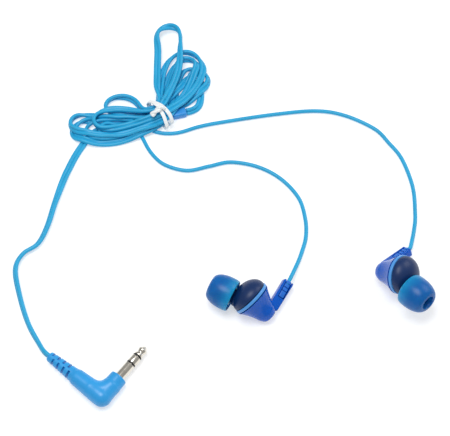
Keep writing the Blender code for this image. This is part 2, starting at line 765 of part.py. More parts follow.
def make_plug():
    """The plug, hung from the empty on its cord's flex axis. Returns the cord's exit frame."""
    corner = (*PLUG_CORNER, PLUG_RADIUS + PLUG_LIFT)
    jack_way = (math.cos(PLUG_HEADING), math.sin(PLUG_HEADING), -PLUG_DIP)
    cord_way = (-jack_way[1], jack_way[0], -PLUG_DIP)
    cord_place = axes_at(corner, cord_way, jack_way)
    jack_out = cord_place.to_3x3().col[0]
    jack_place = axes_at(Vector(corner) + JACK_ARM * jack_out, jack_out, cord_way)
    exit_place = cord_place @ Matrix.Translation((0, 0, CORD_ARM + RELIEF_LENGTH))
    flex_place = exit_place @ Matrix.Translation((0, 0, FLEX_GAP / 2))
    flex_place = Matrix.Translation(flex_place.translation)
    flex = add("plug_flex_axis", None, None, flex_place)
    cord_arm = add("plug_cord_axis", None, flex, flex_place.inverted() @ cord_place)
    jack_arm = add("plug_jack_axis", None, flex, flex_place.inverted() @ jack_place)
    plug_body(cord_arm, jack_arm)
    jack(jack_arm)
    return exit_place


# ---------------------------------------------------------------- cords


def route_mm(points):
    return [Vector(point) * MM for point in points]


def lead_flex(side):
    """The point that a lead bends about, and the way its route leaves it."""
    first, second = route_mm(LEAD_ROUTES[side][:2])
    return first, (second - first).normalized()


def lead_cord(side, flex, stem_exit):
    """A lead: a short end held in the stem, and the run from where it flexes to the hank."""
    pivot, way = lead_flex(side)
    start = stem_exit @ Vector((BUSHING_OFFSET, 0.0, GAP))
    out = stem_exit.to_3x3() @ Vector((0.0, 0.0, 1.0))
    end = pivot - way * FLEX_GAP / 2
    route = [start, start + LEAD_STRAIGHT * out, end - LEAD_STRAIGHT * way, end]
    local = [point - pivot for point in smooth_route(route, 0.4 * ROUTE_STEP)]
    tube(f"{side}_lead_end", local, LEAD_RADIUS, flex, finish=LOOKS["cord"])
    run = [pivot + way * FLEX_GAP / 2] + route_mm(LEAD_ROUTES[side][1:])
    tube(f"{side}_lead_run", smooth_route(run, ROUTE_STEP), LEAD_RADIUS, None, finish=LOOKS["cord"])


def main_cord(exit_place):
    """The twin main cord: its run to the plug, the tall loop and the end at the splitter."""
    way = exit_place.to_3x3() @ Vector((0.0, 0.0, 1.0))
    end = exit_place.translation + way * FLEX_GAP
    run = route_mm(CORD_ROUTE) + [end + 2.0 * MM * way, end]
    for name, route in (
        ("main_cord_run", run),
        ("tall_loop", route_mm(TALL_LOOP_ROUTE)),
        ("splitter_cord", route_mm(SPLITTER_CORD_ROUTE)),
    ):
        tube(name, smooth_route(route, ROUTE_STEP), CORD_RADIUS, None, finish=LOOKS["cord"])


def lobe_outline(spine):
    """A lobe's edge seen from above: along one side, round the end and back."""
    knots = smooth_route([(x * MM, y * MM, w * MM) for x, y, w in spine], 2 * MM)
    ways = np.gradient(knots[:, :2], axis=0)
    ways /= np.linalg.norm(ways, axis=1)[:, None]
    sides = np.stack([ways[:, 1], -ways[:, 0]], axis=1)
    right = [tuple(k[:2] + k[2] * s) for k, s in zip(knots, sides)]
    left = [tuple(k[:2] - k[2] * s) for k, s in zip(knots, sides)]
    start = math.atan2(sides[-1][1], sides[-1][0])
    x, y, radius = knots[-1]
    angles = [start + math.pi * i / 8 for i in range(1, 8)]
    end = [(x + radius * math.cos(a), y + radius * math.sin(a)) for a in angles]
    return right + end + left[::-1]


def hank():
    """The tied spare cord as plain solids: two lobes and the waist between them."""
    half = HANK_HEIGHT / 2
    for name, spine in HANK_LOBES.items():
        place = Matrix.Translation((0, 0, half))
        slab(name, [lobe_outline(spine)], half, None, place, LOOKS["cord"])
    waist = [ellipse(WAIST_HALF_WIDTH, WAIST_HALF_HEIGHT)]
    slab("hank_waist", waist, WAIST_LENGTH / 2, None, waist_axes(), LOOKS["cord"])


def waist_axes():
    """The waist's cross-section frame: X across the bundle, Y up, Z along it."""
    along = (math.cos(WAIST_HEADING), math.sin(WAIST_HEADING), 0.0)
    across = (-along[1], along[0], 0.0)
    return axes_at(WAIST_CENTRE, along, across)


def ellipse(half_width, half_height, points=24):
    angles = [math.tau * i / points for i in range(points)]
    return [(half_width * math.cos(a), half_height * math.sin(a)) for a in angles]


def twist_tie():
    """The plastic-coated tie round the waist, with its twisted ends laid along the bundle."""
    inner = ellipse(WAIST_HALF_WIDTH + GAP, WAIST_HALF_HEIGHT + GAP)
    width = WAIST_HALF_WIDTH + GAP + TIE_THICKNESS
    height = WAIST_HALF_HEIGHT + GAP + TIE_THICKNESS
    place = waist_axes()
    flat = slab("twist_tie", [ellipse(width, height), inner], TIE_WIDTH / 2, None, place)
    strip = as_mesh(flat)
    strip.data.materials.append(LOOKS["tie"])
    tail = [
        (0.0, TIE_TAIL),
        (0.6 * TIE_TAIL_RADIUS, TIE_TAIL),
        (TIE_TAIL_RADIUS, 0.9 * TIE_TAIL),
        (TIE_TAIL_RADIUS, 0.0),
        (0.0, 0.0),
    ]
    top = place @ Vector((0.0, height - 0.4 * TIE_TAIL_RADIUS, 0.0))
    back = place.to_3x3() @ Vector((0.0, -0.08, -1.0))
    combine(strip, turned("tie_tail_add", tail, None, axes_at(top, back), steps=12), "UNION")


def y_splitter():
    """The moulded block where the twin cord parts into the two leads."""
    length, width, height = SPLITTER_SIZE
    turn = Matrix.Rotation(SPLITTER_HEADING, 4, "Z")
    place = Matrix.Translation((*SPLITTER_CENTRE, 0.0)) @ turn
    low = (-length / 2, -width / 2, 0.0)
    high = (length / 2, width / 2, height)
    box("y_splitter", low, high, None, place, LOOKS["plug"], SPLITTER_ROUND)


# ---------------------------------------------------------------- the whole


def make_all():
    for side, spec in EARPIECES.items():
        flex, stem_exit = make_earpiece(side, spec)
        lead_cord(side, flex, stem_exit)
    main_cord(make_plug())
    hank()
    twist_tie()
    y_splitter()


clear_scene()
PARTS = collection("wired_earphones")
CUTTERS = collection("cutters")
LOOKS = make_looks()
make_all()
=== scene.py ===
"""The looks of the wired earphones: cords, silicone tips, shells, plug and tie in a plain studio.

Everything is in metres, in the CAD's own frame. The camera and the cords come first.
"""

import json
import math

import bmesh
import bpy
import numpy as np
from mathutils import Matrix, Vector


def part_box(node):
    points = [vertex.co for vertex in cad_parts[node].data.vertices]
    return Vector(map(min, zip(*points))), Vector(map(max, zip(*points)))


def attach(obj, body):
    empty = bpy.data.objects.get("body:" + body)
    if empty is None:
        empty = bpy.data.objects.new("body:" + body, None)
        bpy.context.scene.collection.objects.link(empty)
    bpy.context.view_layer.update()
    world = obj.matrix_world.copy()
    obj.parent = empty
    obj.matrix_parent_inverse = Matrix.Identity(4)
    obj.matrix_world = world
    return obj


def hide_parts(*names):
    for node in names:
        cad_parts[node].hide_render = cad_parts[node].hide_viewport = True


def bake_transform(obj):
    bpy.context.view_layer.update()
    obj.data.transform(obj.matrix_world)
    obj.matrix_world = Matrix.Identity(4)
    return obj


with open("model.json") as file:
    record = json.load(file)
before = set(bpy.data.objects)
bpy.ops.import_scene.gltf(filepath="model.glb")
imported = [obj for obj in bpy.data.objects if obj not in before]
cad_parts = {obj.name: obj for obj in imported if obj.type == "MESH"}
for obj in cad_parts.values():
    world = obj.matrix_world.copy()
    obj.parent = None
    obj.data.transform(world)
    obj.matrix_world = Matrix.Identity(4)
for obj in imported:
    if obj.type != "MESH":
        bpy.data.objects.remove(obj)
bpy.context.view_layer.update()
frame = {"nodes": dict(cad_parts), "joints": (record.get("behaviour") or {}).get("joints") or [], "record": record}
MM = 0.001
JOINTS = {joint["name"]: joint for joint in frame["joints"]}

# Camera, light and floor
CAMERA_PLACE = (-0.0329, -0.1570, 0.3479)
CAMERA_TILT = math.radians(28)
CAMERA_LENS = 85.0
STUDIO_MIDDLE = (-0.03, 0.03, 0.0)
SKY_STRENGTH = 0.38
FLOOR_HALF = 2.0
FLOOR_SHADE = 0.62
FLOOR_GLOW = 0.5

# Cords: every conductor is the same round strand, and the main cord is two of them side by side
STRAND_RADIUS = 0.75 * MM
STRAND_WIDTH = 2 * STRAND_RADIUS
TWIN_OFFSET = 0.7 * MM
STRAND_STEP = 1.5 * MM
FINE_STEP = 0.6 * MM
CURVE_SAMPLES = 16
STRAND_SIDES = 12
FLOOR_CLEARANCE = 0.03 * MM
LOWEST_CENTRE = STRAND_RADIUS + FLOOR_CLEARANCE

# How the strands settle. Points of a strand so many steps apart are pushed out towards their chord.
SETTLE_ROUNDS = 600
PUSHES = 3
SINK = 0.012 * MM
HOME_PULL = 0.03
STIFFNESS = 0.3
SEARCH_EVERY = 8
SEARCH_REACH = 1.9
KIN_SPAN = 5
PUSH_SHARE = 0.6
OPEN_SHARE = 0.4
OPEN_CHORDS = ((2, 2.93 * MM), (3, 4.2 * MM), (4, 5.3 * MM))

# How the twin cord leans from flat: by its bend (per metre) in the hank, round the tall loop's end,
# and more and more along its run to the plug
FOLD_TILT = math.radians(80)
FULL_TILT_BEND = 160.0
RUN_TILT = math.radians(35)
RUN_TURN = math.radians(55)
RUN_EASE = 6
BEND_SMOOTHING = 15
APEX_REACH = 30 * MM
APEX_RISE = 6 * MM
APEX_FALL = (24 * MM, 10 * MM)

# The hank's waist inside its tie
WAIST_CENTRE = Vector((-0.0582, 0.0715, 0.0042))
WAIST_HEADING = math.radians(43)
WAIST_ALONG = Vector((math.cos(WAIST_HEADING), math.sin(WAIST_HEADING), 0.0))
WAIST_ACROSS = Vector((-WAIST_ALONG.y, WAIST_ALONG.x, 0.0))
WAIST_HALF_LENGTH = 1.8 * MM

# The tie: the oval inside it, its strip, and its twisted ends
TIE_INSIDE = (5.9 * MM, 3.4 * MM)
TIE_REACH = 0.3 * MM
TIE_WIDTH = 1.5 * MM
TIE_THICKNESS = 0.42 * MM
TIE_LAP = 0.45 * MM
TIE_SLACK = 0.5 * MM
TIE_END_RADIUS = 0.72 * MM
TIE_END_OFFSET = 0.4 * MM
TIE_END_TWISTS = 1.1
ROPE_STEP = 0.15 * MM

# The tie's turns, as the angle round the waist in degrees and millimetres along it, and its ends
TIE_TURNS = [
    (100, -0.2), (125, -0.9), (150, -1.7), (180, -2.0), (210, -1.6), (270, -0.6), (330, -0.3),
    (360, -0.3), (395, 0.0), (430, 0.9), (455, 1.4), (490, 1.4), (525, 0.9), (560, 0.5),
    (630, 0.4), (700, 0.2), (740, 0.2), (780, 0.2), (815, 0.3),
]
TIE_ENDS = [
    (-56.3, 71.3, 8.2), (-57.2, 70.9, 9.0), (-58.6, 70.0, 9.0), (-60.0, 68.8, 8.5), (-61.2, 67.9, 8.2),
]

# Y-splitter
SPLITTER_CENTRE = Vector((-0.0509, 0.0732, 0.0))
SPLITTER_HEADING = math.radians(14)
SPLITTER_SIZE = (6.0 * MM, 3.5 * MM, 3.0 * MM)
SPLITTER_ROUND = 0.85 * MM

# The twin cord's passes through the waist: across it and above its centre, in millimetres
PASSES = [
    (-2.95, -0.8), (1.75, -2.3), (2.95, -0.8), (2.95, 0.8), (1.45, 2.35), (-1.45, 2.35), (0.0, 0.8),
    (-2.95, 0.8), (0.0, -0.8),
]

# The hank's petals between the passes: lobe, tip (x, y, z), opening, bow, and which limb is first
PETALS = [
    ("left", (-92.4, 65.6, 2.0), 9.4, -2.4, -1),
    ("right", (-41.3, 93.4, 2.6), 7.6, -2.2, -1),
    ("left", (-80.2, 76.2, 3.4), 6.5, 2.6, -1),
    ("right", (-55.9, 115.4, 5.6), 9.3, -1.8, 1),
    ("left", (-84.8, 68.6, 5.0), 8.6, 0.6, 1),
    ("right", (-47.0, 102.8, 3.4), 15.5, -0.8, -1),
    ("left", (-93.6, 70.0, 3.4), 8.7, -3.0, 1),
    ("right", (-46.3, 100.0, 2.8), 9.6, 0.8, -1),
]
TALL_PETAL = 3
PETAL_POINTS = 9
PETAL_FULLNESS = 0.35
PETAL_WIDEST = 0.82
PETAL_RISE = 0.7

# Stretches given point by point, in millimetres
SPLITTER_CORD_ROUTE = [
    (-47.9, 73.95, 1.5), (-46.3, 74.5, 1.5), (-44.6, 77.0, 1.4), (-43.2, 81.5, 1.2), (-42.5, 86.5, 1.1),
    (-42.6, 91.0, 1.1), (-44.6, 94.4, 1.2), (-47.6, 94.6, 1.3), (-51.0, 89.0, 1.6), (-53.4, 81.0, 2.6),
]
CORD_ROUTE = [
    (-64.0, 67.8, 2.2), (-70.0, 66.8, 1.2), (-78.0, 66.2, 0.9), (-84.0, 63.8, 0.9), (-88.4, 57.9, 1.0),
    (-92.6, 47.3, 1.2), (-96.0, 34.7, 1.2), (-98.3, 23.8, 1.2), (-101.2, 16.6, 1.2), (-106.2, 12.6, 1.2),
    (-108.4, 6.5, 1.2), (-106.0, -3.8, 1.2), (-102.0, -14.6, 1.2), (-97.3, -22.6, 1.4),
]
LEAD_ROUTES = {
    "left": [
        (-6.8, 8.3, 2.0), (-5.1, 13.0, 1.2), (-3.3, 19.5, 0.85), (-3.2, 27.0, 0.85), (-5.4, 36.0, 0.85),
        (-11.8, 44.2, 0.85), (-20.4, 49.5, 0.85), (-30.6, 51.6, 0.85), (-38.8, 49.8, 0.85),
        (-47.5, 47.9, 0.85), (-56.2, 50.7, 0.85), (-61.6, 56.4, 0.85), (-63.5, 61.0, 0.85),
        (-64.4, 64.4, 1.3), (-66.6, 67.5, 2.2), (-70.6, 69.3, 2.5), (-75.5, 70.1, 2.2),
        (-80.5, 70.0, 2.0), (-84.8, 68.8, 2.4), (-87.0, 66.0, 3.0), (-85.2, 63.0, 3.0),
        (-80.5, 61.9, 2.4), (-75.5, 62.4, 2.4), (-69.5, 64.6, 2.4), (-63.0, 67.2, 2.1),
        (-58.6, 69.2, 1.9), (-56.2, 70.9, 1.9), (-53.8, 72.0, 1.5),
    ],
    "right": [
        (36.7, 23.0, 0.95), (37.6, 29.5, 0.85), (37.6, 40.9, 0.85), (34.5, 53.0, 0.85),
        (30.0, 60.3, 0.85), (25.0, 66.6, 0.85), (14.0, 72.7, 0.85), (2.6, 74.9, 0.85),
        (-14.3, 73.2, 0.85), (-34.5, 69.6, 0.85), (-43.0, 67.6, 0.85), (-49.5, 65.3, 0.85),
        (-55.0, 64.6, 0.85), (-59.4, 65.8, 0.85), (-64.5, 67.4, 0.85), (-70.5, 68.2, 0.9),
        (-76.0, 68.2, 1.6), (-80.2, 67.3, 2.6), (-82.2, 65.1, 3.0), (-80.2, 62.9, 2.6),
        (-75.5, 62.7, 1.2), (-70.0, 64.8, 0.95), (-65.8, 67.0, 1.3), (-61.5, 69.0, 1.8),
        (-59.2, 70.2, 1.85), (-57.0, 71.7, 1.85), (-53.8, 72.9, 1.5),
    ],
}
LEAD_HANK_START = 12
CORD_HANK_END = 5
LEAD_IN_BUSHING = 1.5 * MM
LEAD_STRAIGHT = 1.2 * MM
PLUG_STRAIGHT = 3.0 * MM

# Earpiece shells: Z is the axis out of the front, from the accent ring's middle
RING_RADIUS = 6.95 * MM
RING_HALF = 0.55 * MM
RING_ROUND = 0.28 * MM
GAP = 0.3 * MM
FINE_GAP = 0.1 * MM
DOME_RADIUS = 6.75 * MM
DOME_BASE = 0.85 * MM
DOME_DEPTH = 5.0 * MM
WALL = 0.9 * MM
LIP_RADIUS = 5.45 * MM
LIP_BORE = 4.85 * MM
LIP_END = -1.1 * MM
RIM_ROUND = 0.2 * MM
COVER_LENGTH = 8.9 * MM
COVER_END = -DOME_BASE - COVER_LENGTH
COVER_END_RADIUS = 2.7 * MM
COVER_WAIST = 0.35 * MM
COVER_FLOOR = 1.3 * MM
COVER_TAIL = 2.2 * MM
COVER_STEPS = 24

# Nozzle and silicone tip, along the nozzle's axis from its root, which is in the earpiece's frame
NOZZLE_ROOT = (-2.4 * MM, 0.9 * MM, 0.2 * MM)
NOZZLE_RADIUS = 2.3 * MM
NOZZLE_BORE = 1.6 * MM
NOZZLE_END = 10.2 * MM
NOZZLE_ROUND = 0.25 * MM
BARB_RADIUS = NOZZLE_RADIUS + 0.15 * MM
SPOUT_FOOT_RADIUS = 3.0 * MM
SPOUT_FOOT = 2.2 * MM
BORE_FOOT = 1.8 * MM
TIP_REAR = 5.0 * MM
TIP_LENGTH = 9.1 * MM
TIP_FRONT = TIP_REAR + TIP_LENGTH
TIP_WIDEST = TIP_REAR + 0.30 * TIP_LENGTH
TIP_RADIUS = 5.95 * MM
TIP_FACE_RADIUS = 3.1 * MM
TIP_MOUTH = 2.45 * MM
SLEEVE_BORE = NOZZLE_RADIUS + 0.4 * MM
SLEEVE_RADIUS = SLEEVE_BORE + 0.65 * MM
SLEEVE_REAR = TIP_REAR + 0.2 * MM
# Painted glow of light through the thin skirt: how far from the tip's rear it fades out, and its strength there
SKIRT_GLOW_REACH = 5.0 * MM
SKIRT_GLOW_MOST = 0.75

# Cord stem on the rear cover, its slot, and the grooved sleeve in it
STEM_WAY = {"left": (0.613, 0.790, -0.021), "right": (0.641, 0.721, -0.265)}
STEM_TOP = Vector((14.3 * MM, 0.0, -6.4 * MM))
STEM_ROOT = Vector((2.5 * MM, 0.0, -8.6 * MM))
STEM_LENGTH = (STEM_TOP - STEM_ROOT).length
STEM_HALF_TOP = 1.95 * MM
STEM_HALF_ROOT = 2.3 * MM
STEM_DEPTH = 3.1 * MM
STEM_ROUND = 0.55 * MM
SLOT_WIDTH = 2.6 * MM
SLOT_LENGTH = 7.2 * MM
SLOT_FLOOR = -0.85 * MM
SLOT_ROUND = 0.25 * MM
BUSHING_OFFSET = 0.45 * MM
BUSHING_ROUND = 0.4 * MM
GROOVES = 3
GROOVE_PITCH = 1.5 * MM
GROOVE_START = -1.3 * MM
GROOVE_HALF = 0.2 * MM
GROOVE_FLOOR = 0.95 * MM

# Right-angle plug
PLUG_CORNER = Vector((-74.4, -42.1, 3.6)) * MM
PLUG_HEADING = math.radians(52)
PLUG_DIP = 0.03
PLUG_RADIUS = 3.5 * MM
ELBOW_BEND = 5.4 * MM
JACK_ARM = 8.9 * MM
JACK_ARM_RADIUS = 3.1 * MM
CORD_ARM = 12.3 * MM
RELIEF_LENGTH = 11.7 * MM
RELIEF_RADII = (2.55 * MM, 1.8 * MM)
RELIEF_SLOTS = 4
RELIEF_SLOT_SHARE = 0.36
RELIEF_SPINE = 0.3 * MM
CORE_RADIUS = 1.1 * MM
SOCKET_RADIUS = 1.95 * MM
SOCKET_DEPTH = 5.4 * MM
SOFT_VOXEL = 0.17 * MM
SOFT_ROUNDS = 30

# The jack's turned parts: slot, edge rounding, and (radius, distance out from the plug's
# shoulder), all in millimetres. A profile that starts on the axis is solid.
JACK_PARTS = {
    "jack_sleeve": (
        "nickel", 0.12,
        [(1.75, 5.8), (1.75, -1.2), (2.15, -1.2), (2.15, -2.1), (1.4, -2.1), (1.4, 5.8)],
    ),
    "jack_ring": (
        "nickel", 0.12,
        [(1.75, 9.2), (1.75, 6.4), (1.1, 6.4), (1.1, -3.5), (0.75, -3.5), (0.75, 9.2)],
    ),
    "jack_tip": (
        "nickel", 0.35,
        [
            (0, 14), (0.55, 13.9), (1.6, 12.5), (1.6, 12.1), (1.15, 11.1), (1.6, 10.4), (1.6, 9.8),
            (0.5, 9.8), (0.5, -4.8), (0, -4.8),
        ],
    ),
    "jack_insulator_rear": ("insulator", 0.04, [(1.68, 6.3), (1.68, 5.9), (1.2, 5.9), (1.2, 6.3)]),
    "jack_insulator_front": ("insulator", 0.04, [(1.68, 9.7), (1.68, 9.3), (0.6, 9.3), (0.6, 9.7)]),
}


# ---- camera, light and floor


def camera():
    """The three-quarter view from above that the earphones are shown in."""
    data = bpy.data.cameras.new("camera")
    data.lens = CAMERA_LENS
    data.sensor_width = 36.0
    data.clip_start = 0.01
    view = placed("camera", data)
    view.location = CAMERA_PLACE
    view.rotation_euler = (CAMERA_TILT, 0.0, 0.0)
    bpy.context.scene.camera = view


def area_light(name, place, size, power):
    """A round soft light that faces the middle of the studio."""
    data = bpy.data.lights.new(name, "AREA")
    data.shape = "DISK"
    data.size = size
    data.energy = power
    light = placed(name, data)
    light.location = place
    facing = Vector(STUDIO_MIDDLE) - Vector(place)
    light.rotation_euler = facing.to_track_quat("-Z", "Y").to_euler()


def studio():
    """Soft light from all round and a plain pale floor."""
    world = bpy.data.worlds.new("studio")
    world.use_nodes = True
    sky = world.node_tree.nodes["Background"]
    sky.inputs["Color"].default_value = (1.0, 1.0, 1.0, 1.0)
    sky.inputs["Strength"].default_value = SKY_STRENGTH
    bpy.context.scene.world = world
    area_light("key", (-0.12, 0.02, 0.55), 0.30, 1.9)
    area_light("rim", (0.45, 0.35, 0.45), 0.45, 1.5)
    shape = bmesh.new()
    bmesh.ops.create_grid(shape, x_segments=1, y_segments=1, size=FLOOR_HALF)
    floor = from_bmesh("floor", shape)
    finish, shader = principled("floor_white", (FLOOR_SHADE,) * 3, 0.8, Emission_Strength=FLOOR_GLOW)
    shader.inputs["Emission Color"].default_value = (1.0, 1.0, 1.0, 1.0)
    floor.data.materials.append(finish)
    bpy.context.scene.view_settings.view_transform = "Standard"


# ---- cord routes


def even_points(points, count):
    """The same line with an exact number of evenly spaced points."""
    run = np.append(0.0, np.cumsum(steps_of(points)))
    stations = np.linspace(0, run[-1], count)
    return np.stack([np.interp(stations, run, points[:, i]) for i in range(3)], axis=1)


def smooth_route(points, step):
    """Even points along a smooth curve through the route's own points."""
    knots = np.array(points, dtype=float)
    padded = np.vstack([2 * knots[0] - knots[1], knots, 2 * knots[-1] - knots[-2]])
    samples = []
    for p0, p1, p2, p3 in zip(padded, padded[1:], padded[2:], padded[3:]):
        for t in np.linspace(0, 1, CURVE_SAMPLES, endpoint=False):
            bend = 2 * p0 - 5 * p1 + 4 * p2 - p3
            twist = 3 * p1 - p0 - 3 * p2 + p3
            samples.append(0.5 * (2 * p1 + (p2 - p0) * t + bend * t**2 + twist * t**3))
    samples.append(knots[-1])
    samples = np.array(samples)
    return even_points(samples, max(3, round(length_of(samples) / step) + 1))


def steps_of(path):
    """The distance from each of a line's points to the next."""
    return np.linalg.norm(np.diff(path, axis=0), axis=1)


def length_of(path):
    """A line's length."""
    return float(steps_of(path).sum())


def nearest(path, place):
    """Which of a line's points is nearest to a place."""
    return int(np.argmin(np.linalg.norm(path - place, axis=1)))


def headings(points):
    """The unit way along a line at each of its points."""
    ways = np.gradient(points, axis=0)
    return ways / np.linalg.norm(ways, axis=1)[:, None]


def metres(points):
    """Points given in millimetres, in metres."""
    return [Vector(point) * MM for point in points]


def waist_point(slot, side):
    """Where a pass leaves the waist, on its side towards the right or left lobe."""
    across, above = slot
    way = 1 if side == "right" else -1
    point = WAIST_CENTRE + way * WAIST_HALF_LENGTH * WAIST_ALONG
    return point + across * MM * WAIST_ACROSS + Vector((0, 0, above * MM))


def petal(lobe, tip, opening, bow, first_limb, leave, back):
    """One petal's points, from where the cord leaves the waist to where it comes back to it."""
    tip = Vector(tip) * MM
    way = 1 if lobe == "right" else -1
    root = (leave + back) / 2
    axis = tip - root
    axis.z = 0
    reach = axis.length
    axis.normalize()
    side = Vector((-axis.y, axis.x, 0.0)) * way
    made = []
    for i in range(1, PETAL_POINTS):
        turn = math.tau * i / PETAL_POINTS
        share = (1 - math.cos(turn)) / 2
        wide = 0.5 * opening * MM * math.sin(turn) * share**PETAL_FULLNESS / PETAL_WIDEST * first_limb
        bend = bow * MM * math.sin(math.pi * share)
        low = leave.z if i < PETAL_POINTS / 2 else back.z
        height = low + (tip.z - low) * share**PETAL_RISE
        place = root + axis * reach * share + side * (wide + bend)
        made.append(Vector((place.x, place.y, height)))
    return made


def main_cord_route(exit_place):
    """The twin cord from the splitter through the hank to the plug, and where the hank ends."""
    points = metres(SPLITTER_CORD_ROUTE)
    side = "right"
    for i, slot in enumerate(PASSES):
        other = "left" if side == "right" else "right"
        points += [waist_point(slot, side), waist_point(slot, other)]
        side = other
        if i < len(PETALS):
            following = PASSES[i + 1]
            points += petal(*PETALS[i], waist_point(slot, side), waist_point(following, side))
    hank_points = len(points) + CORD_HANK_END
    points += metres(CORD_ROUTE)
    out = exit_place.to_3x3() @ Vector((0, 0, 1))
    points += [exit_place.translation + PLUG_STRAIGHT * out, exit_place.translation]
    return points, hank_points


def main_tilts(centres, hank_end):
    """How far the twin cord leans from flat: on edge round the petals' tips, flat at the waist."""
    bend = np.linalg.norm(np.gradient(headings(centres), axis=0), axis=1) / STRAND_STEP
    kernel = np.hanning(BEND_SMOOTHING)
    bend = np.convolve(bend, kernel / kernel.sum(), mode="same")
    tilts = np.clip(bend / FULL_TILT_BEND, 0, 1) * FOLD_TILT
    numbers = np.arange(len(centres))
    past_apex = (numbers - tall_apex(centres)) * STRAND_STEP
    falling = (APEX_FALL[0] - past_apex) / APEX_FALL[1]
    edge = np.clip(past_apex / APEX_RISE, 0, 1) * np.clip(falling, 0, 1)
    tilts = np.where(abs(past_apex) < APEX_REACH, edge * FOLD_TILT, tilts)
    share = np.clip((numbers - hank_end) / (len(centres) - hank_end), 0, 1)
    on_run = np.clip(share * RUN_EASE, 0, 1)
    run_tilt = RUN_TILT + share * RUN_TURN
    return tilts * (1 - on_run) + run_tilt * on_run


def tall_apex(centres):
    """Which point of the main cord is at the tall loop's end."""
    tip = np.array(PETALS[TALL_PETAL][1]) * MM
    return nearest(centres, tip)


def twin_rails(centres, tilts):
    """The two conductors' centres along a twin cord, side by side at each tilt from flat."""
    ways = headings(centres)
    flat = np.cross(np.array((0.0, 0.0, 1.0)), ways)
    flat /= np.linalg.norm(flat, axis=1)[:, None]
    up = np.cross(ways, flat)
    wide = np.cos(tilts)[:, None] * flat + np.sin(tilts)[:, None] * up
    return centres + TWIN_OFFSET * wide, centres - TWIN_OFFSET * wide


def lead_start(hand, place):
    """A lead's first points: held in the stem's bushing, and straight out of it."""
    stem = stem_axes(hand, place)
    return [stem @ Vector((BUSHING_OFFSET, 0.0, z)) for z in (-LEAD_IN_BUSHING, 0.0, LEAD_STRAIGHT)]


# ---- settling the cords


def settle(chains, holds):
    """Push crossing strands apart and let them sink, and hold each one's length.

    Each chain is a round strand's points. Held points never move. The first two chains are the
    twin cord's rails. The rounds are limited, and some overlap is left where the hank is tight.
    """
    place = np.concatenate(chains)
    home = place.copy()
    held = np.concatenate(holds)
    waisted = in_waist(place)
    loose = (~held).astype(float)
    sizes = [len(chain) for chain in chains]
    number = np.concatenate([np.arange(size) for size in sizes])
    owner = np.repeat(np.arange(len(sizes)), sizes)
    family = np.maximum(owner, 1)
    links = spans(sizes, 1)
    length = np.linalg.norm(place[links + 1] - place[links], axis=1)
    chords = [(spans(sizes, steps), steps, chord) for steps, chord in OPEN_CHORDS]
    rail = np.arange(sizes[0])
    bendable = (owner[:-4] == owner[4:]) * loose[2:-2]
    for turn in range(SETTLE_ROUNDS):
        place[:, 2] -= SINK * loose
        pull = HOME_PULL * (1 - turn / SETTLE_ROUNDS)
        place += (home - place) * (pull * loose)[:, None]
        kinks = 0.5 * (place[:-2] + place[2:]) - place[1:-1]
        smoothed = kinks[1:-1] - 0.5 * (kinks[:-2] + kinks[2:])
        place[2:-2] += STIFFNESS * smoothed * bendable[:, None]
        if turn % SEARCH_EVERY == 0:
            near = close_pairs(place, family, number)
        for _ in range(PUSHES):
            push_apart(place, near, loose)
            for a, b in ((links[::2], length[::2]), (links[1::2], length[1::2])):
                keep_length(place, a, a + 1, b, loose)
            keep_length(place, rail, rail + sizes[0], 2 * TWIN_OFFSET, loose)
            for first, steps, chord in chords:
                keep_open(place, first, first + steps, chord, loose)
            keep_in_waist(place, waisted, loose)
            keep_off_block(place, loose)
            place[:, 2] = np.where(held, place[:, 2], np.maximum(place[:, 2], LOWEST_CENTRE))
    return np.split(place, np.cumsum(sizes)[:-1])


def spans(sizes, steps):
    """Every point that has another of its own strand so many steps on."""
    starts = np.cumsum(sizes) - sizes
    return np.concatenate([start + np.arange(size - steps) for start, size in zip(starts, sizes)])


def close_pairs(place, family, number):
    """Pairs of points that may come to touch, other than near neighbours along one cord."""
    gap = place[:, None, :] - place[None, :, :]
    close = (gap**2).sum(2) < (SEARCH_REACH * STRAND_WIDTH) ** 2
    kin = family[:, None] == family[None, :]
    kin &= abs(number[:, None] - number[None, :]) < KIN_SPAN
    return np.nonzero(np.triu(close & ~kin, 1))


def push_apart(place, near, loose):
    """Move touching strands half of their overlap each."""
    first, second = near
    gap = place[first] - place[second]
    reach = np.linalg.norm(gap, axis=1)
    deep = reach < STRAND_WIDTH
    first, second, gap, reach = first[deep], second[deep], gap[deep], reach[deep]
    shove = 0.5 * (STRAND_WIDTH - reach)[:, None] * gap / np.maximum(reach, 1e-7)[:, None]
    count = np.zeros(len(place))
    move = np.zeros_like(place)
    np.add.at(move, first, shove)
    np.add.at(move, second, -shove)
    np.add.at(count, first, 1)
    np.add.at(count, second, 1)
    place += move / np.maximum(count * PUSH_SHARE, 1)[:, None] * loose[:, None]


def keep_length(place, first, second, length, loose):
    """Bring two points back towards their own distance."""
    gap = place[second] - place[first]
    reach = np.linalg.norm(gap, axis=1)
    share = loose[first] + loose[second]
    excess = (reach - length) / np.maximum(share, 1) / np.maximum(reach, 1e-7)
    place[first] += gap * (excess * loose[first])[:, None]
    place[second] -= gap * (excess * loose[second])[:, None]


def keep_open(place, first, second, least, loose):
    """Push two points of one strand out towards a least chord, which limits its bends."""
    gap = place[second] - place[first]
    reach = np.linalg.norm(gap, axis=1)
    excess = np.minimum(reach - least, 0) / np.maximum(reach, 1e-7) * OPEN_SHARE
    move = gap * excess[:, None]
    np.add.at(place, first, move * loose[first][:, None])
    np.add.at(place, second, -move * loose[second][:, None])


def in_waist(points):
    """Which points are in the tie or near it."""
    local = points - np.array(WAIST_CENTRE)
    along = abs(local @ np.array(WAIST_ALONG))
    across = abs(local @ np.array(WAIST_ACROSS))
    return (along < 2 * WAIST_HALF_LENGTH) & (across < TIE_INSIDE[0] + MM)


